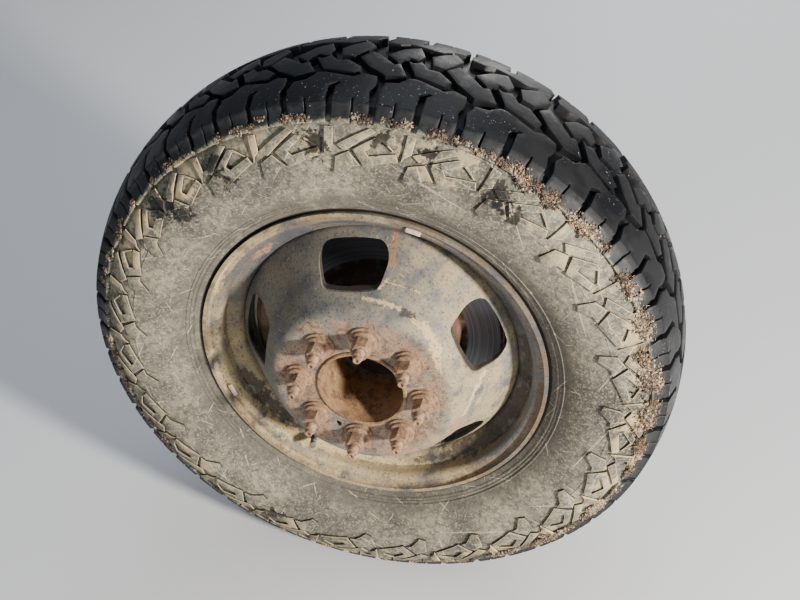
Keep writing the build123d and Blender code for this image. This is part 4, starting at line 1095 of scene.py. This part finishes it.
def disc_paint():
    paint = Finish("disc_paint", PAINT_DARK, roughness=0.5, metallic=0.1)
    place = paint.wheel_place()
    paint.patches(PAINT_GREY, 16.0, 0.4, 0.62, roughness=0.6)
    streaks = paint.mask(STREAKS, Round=place["Round"], Radius=place["Radius"], Count=34.0)
    paint.cover(PAINT_DARK, paint.times(streaks, 0.55), roughness=0.42)
    right = paint.most(ramp(paint.tree, paint.axes()["X"], -0.03, 0.12), 0.25)
    paint.patches(ROAD_DUST, 30.0, 0.34, 0.6, strength=paint.times(right, 0.7), roughness=0.85)
    wander = calc(paint.tree, "MULTIPLY_ADD", paint.mottle(40.0, 0.3, 0.7), RUST_WANDER, place["Radius"])
    flat = ramp(paint.tree, wander, *RUST_END_R)
    rust = paint.times(flat, 0.85)
    paint.patches(RUST_PINK, 34.0, 0.34, 0.52, strength=rust, roughness=0.82, height=0.00005)
    paint.patches(RUST_BROWN, 90.0, 0.48, 0.6, strength=paint.times(flat, 0.6), roughness=0.85)
    paint.patches(PAINT_GREY, 46.0, 0.52, 0.62, strength=paint.times(flat, 0.8), roughness=0.8)
    for angle, radius, last_angle, last_radius, width, colour in DISC_MARKS:
        start = at_wheel(radius, angle, disc_across(radius))
        finish = at_wheel(last_radius, last_angle, disc_across(last_radius))
        paint.strokes([start, finish], width, colour)
    paint.speckle(1.0)
    # The hand holes' walls are darkened as painted shade.
    paint.cover(RUST_BLACK, paint.times(painted_hole_shade(paint, place), 0.9), roughness=0.8)
    paint.cover(MUD_CREAM, paint.times(paint.scratches(scale=12.0, amount=0.04), 0.6), roughness=0.9)
    paint.grain(scale=260.0, height=0.00018)
    return paint.done()


DISC_PAINT = disc_paint()
print("marks on the disc", len(DISC_MARKS), "nodes", len(DISC_PAINT.node_tree.nodes))

# %% [markdown]
# The rim was rolled from a strip, so its bump is fine rings round the axle, drawn as a sine of the
# radius, under the grain. Dust and cream mud lie low in the gutter and on the lip, where they
# dried. A stroke is straight and the gutter is round, so each mark bends once, halfway along it.

# %% Rim paint
LIP_R = (0.2215, 0.240)
RING_RADIANS = 2400.0
RING_HEIGHT = 0.00002
RIM_MARKS = [
    # from angle, radius and across, to the same, width, colour
    (-137.0, 0.217, -0.073, -121.0, 0.213, -0.066, 0.0090, MUD_CREAM),
    (-118.0, 0.212, -0.060, -100.0, 0.211, -0.056, 0.0075, MUD_CREAM),
    (-97.0, 0.210, -0.055, -80.0, 0.210, -0.056, 0.0060, MUD_CREAM),
    (-170.0, 0.222, -0.077, -146.0, 0.220, -0.075, 0.0070, ROAD_DUST),
    # The dark strokes in the gutter are painted shadow, where the rim's wall shades the gutter.
    (-158.0, 0.207, -0.060, -132.0, 0.205, -0.054, 0.0100, GUTTER_SHADOW),
    (-74.0, 0.206, -0.050, -52.0, 0.205, -0.050, 0.0110, GUTTER_SHADOW),
    (-50.0, 0.206, -0.052, -22.0, 0.206, -0.053, 0.0130, GUTTER_SHADOW),
    (-22.0, 0.206, -0.053, 14.0, 0.207, -0.054, 0.0120, GUTTER_SHADOW),
    (142.0, 0.206, -0.056, 134.0, 0.205, -0.054, 0.0060, RUST_PINK),
    (139.5, 0.202, -0.050, 136.0, 0.202, -0.050, 0.0036, RUST_ORANGE),
    (146.0, 0.230, -0.083, 160.0, 0.228, -0.082, 0.0040, MUD_CREAM),
]


def rim_paint():
    paint = Finish("rim_paint", RIM_GREY, roughness=0.55, metallic=0.1)
    radius = paint.wheel_place()["Radius"]
    axes = paint.axes()
    paint.patches(PAINT_DARK, 20.0, 0.42, 0.6, roughness=0.45)
    low = ramp(paint.tree, calc(paint.tree, "MULTIPLY_ADD", axes["X"], 0.6, axes["Z"]), 0.0, -0.13)
    left = ramp(paint.tree, axes["X"], 0.12, -0.12, 0.25, 1.0)
    lip = paint.band(radius, *LIP_R, soft=0.0015)
    dusty = paint.most(paint.times(lip, left), low)
    paint.patches(ROAD_DUST, 26.0, 0.34, 0.58, strength=paint.times(dusty, 0.8), roughness=0.86)
    paint.patches(MUD_BROWN, 16.0, 0.47, 0.6, strength=paint.times(lip, 0.7), roughness=0.86)
    paint.patches(MUD_CREAM, 46.0, 0.56, 0.66, strength=paint.times(low, 0.6), roughness=0.9)
    for angle, start_r, across, last_angle, last_r, last_across, width, colour in RIM_MARKS:
        middle = ((start_r + last_r) / 2, (angle + last_angle) / 2, (across + last_across) / 2)
        bends = [(start_r, angle, across), middle, (last_r, last_angle, last_across)]
        paint.strokes([at_wheel(*bend) for bend in bends], width, colour)
    paint.speckle(1.0)
    rings = calc(paint.tree, "SINE", calc(paint.tree, "MULTIPLY", radius, RING_RADIANS))
    paint.height = calc(paint.tree, "MULTIPLY", rings, RING_HEIGHT)
    paint.grain(scale=260.0, height=0.00016)
    return paint.done()


RIM_PAINT = rim_paint()
print("marks on the rim", len(RIM_MARKS), "nodes", len(RIM_PAINT.node_tree.nodes))

# %% [markdown]
# The other metals are bare steel that has rusted, or castings under rust and dust. Each kind is one
# function, and its colours and the size of its patches tell one piece from another.

# %% Rusted and cast metals


def rusty(name, base, worn, light, scale, metallic):
    """Bare metal that has rusted: a base, darker pits and lighter bloom."""
    metal = Finish(name, base, roughness=0.62, metallic=metallic)
    metal.patches(worn, scale, 0.44, 0.62, roughness=0.8, height=0.00003)
    metal.patches(light, scale * 2.6, 0.5, 0.66, strength=0.7, roughness=0.86)
    metal.speckle(0.8)
    metal.grain(scale=620.0, height=0.00008)
    return metal.done()


def dusty_cast(name, base, rust, dust):
    metal = Finish(name, base, roughness=0.7, metallic=0.2)
    metal.patches(rust, 26.0, 0.4, 0.6, roughness=0.82)
    metal.patches(dust, 12.0, 0.45, 0.66, strength=0.7, roughness=0.9)
    metal.patches(RUST_BLACK, 70.0, 0.58, 0.7, strength=0.7, roughness=0.7)
    metal.grain(scale=300.0, height=0.0007)
    metal.grain(scale=60.0, height=0.0006)
    return metal.done()


FASTENER = rusty(
    "rusty_fastener",
    base=tint(154, 122, 94),
    worn=tint(118, 92, 74),
    light=tint(180, 152, 120),
    scale=90.0,
    metallic=0.1,
)
HUB_RUST = rusty(
    "rusty_hub",
    base=tint(148, 114, 82),
    worn=tint(108, 80, 58),
    light=tint(168, 136, 100),
    scale=60.0,
    metallic=0.05,
)
BEARING_STEEL = rusty("bearing_steel", STEEL_GREY, RUST_BROWN, RUST_PINK, scale=38.0, metallic=0.6)
BARE_STEEL = rusty("bare_steel", tint(112, 106, 100), RUST_BROWN, RUST_PINK, scale=80.0, metallic=0.6)
CAST_IRON = dusty_cast("cast_iron", tint(86, 74, 66), RUST_BROWN, ROAD_DUST)
CALIPER_IRON = dusty_cast("caliper_iron", tint(104, 88, 74), RUST_ORANGE, ROAD_DUST)
AXLE_PAINT = dusty_cast("axle_paint", tint(48, 46, 45), RUST_BROWN, ROAD_DUST)
SHIELD_STEEL = dusty_cast("shield_steel", tint(70, 66, 62), RUST_BROWN, MUD_BROWN)
PAD_COMPOUND = rusty("pad_compound", tint(70, 66, 62), RUST_BLACK, RUST_BROWN, scale=90.0, metallic=0.0)
BOOT_RUBBER = plain_rubber("boot_rubber", tint(44, 43, 42), MUD_BROWN)
VALVE_RUBBER = plain_rubber("valve_rubber", tint(92, 84, 74), DUST_CREAM)
print("finishes so far", len(bpy.data.materials))

# %% [markdown]
# The pads polish the rotor, so the swept ring is pale with fine circles in it, and everything
# outside it rusts. Its pale, slightly blue colour is partly the polished steel's own and partly
# painted reflection of a bright sky. The circles come from noise in one dimension, read along the
# radius, which differs from ring to ring as a turned face does. Balance weights have a pale coat of
# their own.

# %% Rotor iron and weight coat
SWEPT_R = (0.1165, 0.1615)
SHADED_FROM_Z = (0.07, 0.12)


def rotor_iron():
    iron = Finish("rotor_iron", SWEPT_PALE_AND_REFLECTION, roughness=0.4, metallic=0.1)
    radius = iron.wheel_place()["Radius"]
    circles = add(iron.tree, "TexNoise", Scale=420.0, Detail=2.0, settings={"noise_dimensions": "1D"})
    fill_input(iron.tree, circles.inputs["W"], radius)
    iron.cover(SWEPT_DARK, ramp(iron.tree, circles.outputs[0], 0.35, 0.65), roughness=0.45)
    bare = calc(iron.tree, "SUBTRACT", 1.0, iron.band(radius, *SWEPT_R, soft=0.0012))
    iron.patches(RUST_BROWN, 50.0, 0.2, 0.5, strength=bare, roughness=0.8)
    iron.patches(RUST_ORANGE, 90.0, 0.45, 0.6, strength=iron.times(bare, 0.3), roughness=0.85)
    iron.patches(RUST_ORANGE, 40.0, 0.6, 0.7, strength=0.35, roughness=0.7)
    # A dark film on the rotor's upper part is painted shade, darkening the iron seen through the upper
    # hand holes.
    upper = ramp(iron.tree, iron.axes()["Z"], *SHADED_FROM_Z)
    iron.cover(RUST_BLACK, iron.times(upper, 0.8), roughness=0.7)
    iron.height = calc(iron.tree, "MULTIPLY", circles.outputs[0], 0.00003)
    return iron.done()


def weight_coat():
    coat = Finish("weight_coat", WEIGHT_PALE, roughness=0.5, metallic=0.1)
    coat.patches(ROAD_DUST, 160.0, 0.42, 0.6, strength=0.6, roughness=0.85)
    coat.patches(RUST_BLACK, 120.0, 0.58, 0.7, strength=0.5, roughness=0.8)
    coat.grain(scale=500.0, height=0.00008)
    return coat.done()


ROTOR_IRON = rotor_iron()
WEIGHT_COAT = weight_coat()
print("finishes so far", len(bpy.data.materials))

# %% [markdown]
# The CAD nodes keep their meshes and only change their material. A table says which nodes share a
# finish. The tyre, studs, nuts and weights aren't in it, because new pieces stand in for them.

# %% Dressing the nodes
NODE_FINISHES = [
    (AXLE_PAINT, ["axle_tube", "axle_yoke"]),
    (BARE_STEEL, ["upper_ball_stud", "lower_ball_stud", "ball_stud_nuts"]),
    (BARE_STEEL, ["upper_ball_joint", "lower_ball_joint", "caliper_pistons", "slide_pins"]),
    (BARE_STEEL, ["hub_studs", "extension_nuts"]),
    (CAST_IRON, ["steering_knuckle"]),
    (BOOT_RUBBER, ["ball_joint_boots"]),
    (BEARING_STEEL, ["bearing_unit", "wheel_hub"]),
    (SHIELD_STEEL, ["dust_shield"]),
    (CALIPER_IRON, ["caliper_bracket", "brake_caliper"]),
    (PAD_COMPOUND, ["outer_brake_pad", "inner_brake_pad"]),
    (ROTOR_IRON, ["brake_rotor"]),
    (HUB_RUST, ["hub_extension"]),
    (DISC_PAINT, ["wheel_disc"]),
    (RIM_PAINT, ["wheel_rim"]),
    (FASTENER, ["nut_washers"]),
    (VALVE_RUBBER, ["valve_stem"]),
]


def dress_nodes():
    dressed = 0
    for material, nodes in NODE_FINISHES:
        for node in nodes:
            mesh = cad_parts[node].data
            mesh.materials.clear()
            mesh.materials.append(material)
        dressed += len(nodes)
    return dressed


print("nodes dressed", dress_nodes())

# %% [markdown]
# The wheel's eight studs and nuts catch the eye, so they get what the plain solids leave out: a
# thread and a hollow tip on each stud, and on each nut a chamfered hexagon over a round foot.
# A real nut is turned from bar with a cone on its end, and then six flats are cut. The same two
# steps give the same curved edges here: a spun section, then six cuts through it.

# %% One stud and one nut
STUD_R = 0.0070
THREAD_DEPTH = 0.0006
THREAD_PITCH = 0.0015
THREAD_LENGTH = 0.0110
HEAD_R = 0.0110
HEAD_THICK = 0.0060
TIP_R = 0.0050
TIP_LENGTH = 0.0060
HOLLOW_R = 0.0029
HOLLOW_DEPTH = 0.0022
HOLLOW_SHARE = 0.8
FLATS = 6
ACROSS_FLATS = 0.0220
FLAT_AT = ACROSS_FLATS / 2
CORNER_R = FLAT_AT / math.cos(math.pi / FLATS)
CONE_TOP_R = FLAT_AT * 0.94
CONE_LEAN = 30.0
FOOT_R = 0.0165
FOOT_THICK = 0.0050
BORE_R = 0.0071
EDGE = 0.0005
SPIN_STEPS = 36


def turned(bm, section, closed=True):
    """Adds a section of (radius, across) points, spun round the Y axis, to the bmesh."""
    verts = [bm.verts.new((radius, across, 0.0)) for radius, across in section]
    pairs = list(zip(verts, verts[1:])) + ([(verts[-1], verts[0])] if closed else [])
    edges = [bm.edges.new(pair) for pair in pairs]
    bmesh.ops.spin(
        bm,
        geom=verts + edges,
        cent=(0.0, 0.0, 0.0),
        axis=AXIS,
        angle=math.tau,
        steps=SPIN_STEPS,
        use_merge=True,
    )
    bmesh.ops.remove_doubles(bm, verts=bm.verts, dist=MERGE_GAP)


def stud(low, high):
    """low is the outer tip and high the back of the head, as places along Y."""
    section = [
        (0.0, low + HOLLOW_DEPTH),
        (HOLLOW_R * HOLLOW_SHARE, low + HOLLOW_DEPTH * HOLLOW_SHARE),
        (HOLLOW_R, low),
        (TIP_R - EDGE, low),
        (TIP_R, low + EDGE),
        (TIP_R, low + TIP_LENGTH - EDGE),
    ]
    for i in range(round(THREAD_LENGTH / THREAD_PITCH)):
        crest = low + TIP_LENGTH + THREAD_PITCH * (i + 0.5)
        section += [(STUD_R - THREAD_DEPTH, crest - THREAD_PITCH / 2), (STUD_R, crest)]
    section += [(STUD_R, high - HEAD_THICK), (HEAD_R, high - HEAD_THICK), (HEAD_R, high), (0.0, high)]
    bm = bmesh.new()
    turned(bm, section, closed=False)
    return bm


def hexagon_bar(low, high):
    """A turned ring with a cone on its outer end and six flats cut off it."""
    bm = bmesh.new()
    cone = (CORNER_R - CONE_TOP_R) * math.tan(math.radians(CONE_LEAN))
    section = [
        (BORE_R, low),
        (CONE_TOP_R, low),
        (CORNER_R, low + cone),
        (CORNER_R, high),
        (BORE_R, high),
    ]
    turned(bm, section)
    for i in range(FLATS):
        turn = math.tau * i / FLATS
        way = Vector((math.cos(turn), 0.0, math.sin(turn)))
        cut = cut_at(bm, way * FLAT_AT, way, clear_outer=True)["geom_cut"]
        bmesh.ops.contextual_create(bm, geom=[g for g in cut if isinstance(g, bmesh.types.BMEdge)])
    return bm


def nut(low, high):
    """low is the outer end of the hexagon and high the face on the washer."""
    seat = high - FOOT_THICK
    section = [
        (BORE_R, seat),
        (CORNER_R, seat),
        (FOOT_R - EDGE, seat + 2 * EDGE),
        (FOOT_R, seat + 3 * EDGE),
        (FOOT_R, high),
        (BORE_R, high),
    ]
    bm = hexagon_bar(low, seat + EDGE)
    foot = bmesh.new()
    turned(foot, section)
    join_in(bm, foot)
    return bm


print("thread turns", round(THREAD_LENGTH / THREAD_PITCH), "corner radius", round(CORNER_R, 5))

# %% [markdown]
# Eight copies stand on the stud circle, turned so that they meet the holes of the disc. One stud
# is moved out to the circle first, so every copy of it is only a turn round the wheel's axis.

# %% Studs and nuts round the wheel
STUD_COUNT = 8
STUD_CIRCLE = 0.08255
STUD_PHASE = 86.1
FASTENERS = [
    # node, piece, what makes one
    ("wheel_studs", "threaded_studs", stud),
    ("lug_nuts", "flanged_nuts", nut),
]


def turn_round(bm, verts, angle):
    turn = Matrix.Rotation(angle, 3, "Y")
    bmesh.ops.rotate(bm, verts=verts, matrix=turn)


def make_fasteners():
    for node, name, make_one in FASTENERS:
        low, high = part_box(node)
        bm = make_one(low.y, high.y)
        bmesh.ops.recalc_face_normals(bm, faces=bm.faces)
        first = everything(bm)
        bmesh.ops.translate(bm, verts=bm.verts, vec=(STUD_CIRCLE, 0.0, 0.0))
        for i in range(1, STUD_COUNT):
            copy = bmesh.ops.duplicate(bm, geom=first)["geom"]
            turn_round(bm, verts_of(copy), math.tau * i / STUD_COUNT)
        turn_round(bm, bm.verts, -math.radians(STUD_PHASE))
        piece = finish_piece(bm, name, [FASTENER], sharp=25.0)
        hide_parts(node)


make_fasteners()

# %% [markdown]
# Two balance weights are clipped under the rim's outer lip. Each is a soft metal bar with rounded
# edges, so a cube is stretched, its edges are bevelled, and it is turned to its angle. The bars lie
# in the outer part of the space that the plain solids hold, against the same wall of the rim.

# %% Balance weights
WEIGHT_SIZE = (0.0200, 0.0036, 0.0066)
WEIGHT_EDGE = 0.0014
WEIGHT_ANGLES = (75.9, 204.0)
WEIGHT_GAP = 0.0006
CAD_WEIGHT_TOP = 79.0


def clip_weights():
    low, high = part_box("balance_weights")
    outer = high.z / math.sin(math.radians(CAD_WEIGHT_TOP)) - WEIGHT_GAP
    middle = (0.0, high.y - WEIGHT_SIZE[1] / 2, outer - WEIGHT_SIZE[2] / 2)
    bm = bmesh.new()
    for angle in WEIGHT_ANGLES:
        bar = bmesh.new()
        made = bmesh.ops.create_cube(bar, size=1.0)
        bmesh.ops.scale(bar, verts=made["verts"], vec=WEIGHT_SIZE)
        bmesh.ops.bevel(
            bar,
            geom=bar.edges[:],
            offset=WEIGHT_EDGE,
            affect="EDGES",
            segments=3,
            profile=0.5,
            material=-1,
        )
        bmesh.ops.translate(bar, verts=bar.verts, vec=middle)
        turn_round(bar, bar.verts, math.radians(90.0 - angle))
        join_in(bm, bar)
    piece = finish_piece(bm, "clipped_weights", [WEIGHT_COAT])
    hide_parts("balance_weights")


clip_weights()

# %% [markdown]
# Dried mud clings along the shoulder's outer edge, where the sidewall meets the tread. It hangs in
# clumps of crumbs and broken straw, thickest on the side that last touched the ground. A crumb is
# the simplest sphere with its corners pushed in and out, and a straw is a thin cone of three sides.
# A seeded random draw sets where each clump lies, so that every run gives the same mud.

# %% Where the mud hangs
MUD_SEED = 7
MUD_MIXES = [(0, 0, 1), (1, 1, 0), (2, 0, 1), (3, 2, 0), (3, 0, 1)]
MUD_SPANS = [
    # from and to in degrees, clumps, smallest and largest size, middle radius, how far it varies
    (-62.0, -8.0, 30, 0.004, 0.010, 0.3690, 0.0090),
    (-8.0, 24.0, 18, 0.007, 0.013, 0.3660, 0.0090),
    (24.0, 62.0, 22, 0.004, 0.009, 0.3705, 0.0050),
    (62.0, 108.0, 34, 0.0015, 0.0045, 0.3725, 0.0020),
    (108.0, 150.0, 14, 0.002, 0.004, 0.3710, 0.0040),
    (150.0, 215.0, 24, 0.003, 0.006, 0.3710, 0.0070),
    (230.0, 298.0, 12, 0.002, 0.004, 0.3730, 0.0030),
]


def draw_clumps(draw):
    """Each clump's angle, radius, size and the colours that it mixes."""
    clumps = []
    for start, end, count, small, large, radius, spread in MUD_SPANS:
        for _ in range(count):
            size = draw.uniform(small, large)
            middle = draw.gauss(radius, spread * 0.5)
            angle = draw.uniform(start, end)
            clumps.append((angle, middle, size, draw.choice(MUD_MIXES)))
    return clumps


mud_draw = random.Random(MUD_SEED)
clumps = draw_clumps(mud_draw)
print("clumps of mud", len(clumps), "the largest", round(max(size for _, _, size, _ in clumps), 4))

# %% [markdown]
# Each clump is built in a small bmesh of its own and then joined to the rest, because adding
# thousands of crumbs to one growing mesh gets slow. Its crumbs and straws are flat places near the
# clump's middle, wrapped on the tyre in the same way as the tread.

# %% Clumps of mud
CRUMBS_PER_METRE = 6500
CRUMB_R = (0.0006, 0.0020)
CRUMB_SHOVE = 0.5
STRAWS_PER_METRE = 9000
STRAW_ROOT_R = (0.0003, 0.0007)
STRAW_TIP_R = 0.0002
STRAW_LENGTH = (0.002, 0.006)
MUD_LIFT = 0.0010
SPREAD_ROUND = 0.9
SPREAD_ALONG = 0.45


def mud_place(draw, angle, radius, size, high):
    """A place near a clump's middle, lying on the tyre's outer face."""
    turn = angle * DEGREE + draw.gauss(0.0, size * SPREAD_ROUND)
    along = distance_of_radius(min(draw.gauss(radius, size * SPREAD_ALONG), SHOULDER_R))
    flat = np.array([(turn, -along, draw.uniform(-MUD_LIFT, high))])
    return Vector(wrap_on_tyre(flat)[0])


def shove(verts, centre, draw):
    for vert in verts:
        vert.co = centre + (vert.co - centre) * draw.uniform(1.0 - CRUMB_SHOVE, 1.0 + CRUMB_SHOVE)


def colour_faces(made, index):
    for face in {f for v in made["verts"] for f in v.link_faces}:
        face.material_index = index


def clump(draw, angle, radius, size, mix):
    bm = bmesh.new()
    for _ in range(round(size * CRUMBS_PER_METRE)):
        centre = mud_place(draw, angle, radius, size, 0.0)
        made = bmesh.ops.create_icosphere(
            bm,
            subdivisions=1,
            radius=draw.uniform(*CRUMB_R),
            matrix=Matrix.Translation(centre),
        )
        shove(made["verts"], centre, draw)
        colour_faces(made, draw.choice(mix))
    for _ in range(round(size * STRAWS_PER_METRE)):
        way = Vector([draw.uniform(-1.0, 1.0) for _ in range(3)])
        lean = Matrix.Rotation(draw.uniform(0.0, math.tau), 4, way)
        made = bmesh.ops.create_cone(
            bm,
            segments=3,
            cap_ends=True,
            radius1=draw.uniform(*STRAW_ROOT_R),
            radius2=STRAW_TIP_R,
            depth=draw.uniform(*STRAW_LENGTH),
            matrix=Matrix.Translation(mud_place(draw, angle, radius, size, MUD_LIFT)) @ lean,
        )
        colour_faces(made, draw.choice(mix))
    return bm


def mud_colour(name, colour, second):
    mud = Finish(name, colour, roughness=0.92)
    mud.cover(second, mud.mottle(260.0, 0.42, 0.6))
    mud.grain(scale=900.0, height=0.0002)
    return mud.done()


def dried_mud():
    bm = bmesh.new()
    for place in clumps:
        join_in(bm, clump(mud_draw, *place))
    colours = [
        mud_colour("mud_tan", tint(134, 112, 91), tint(96, 80, 65)),
        mud_colour("mud_brown", tint(75, 63, 55), tint(48, 42, 38)),
        mud_colour("dry_straw", tint(197, 167, 134), tint(158, 130, 104)),
        mud_colour("mud_cream", tint(193, 181, 156), tint(151, 139, 119)),
    ]
    finish_piece(bm, "dried_mud", colours, sharp=180.0)


dried_mud()

# %% [markdown]
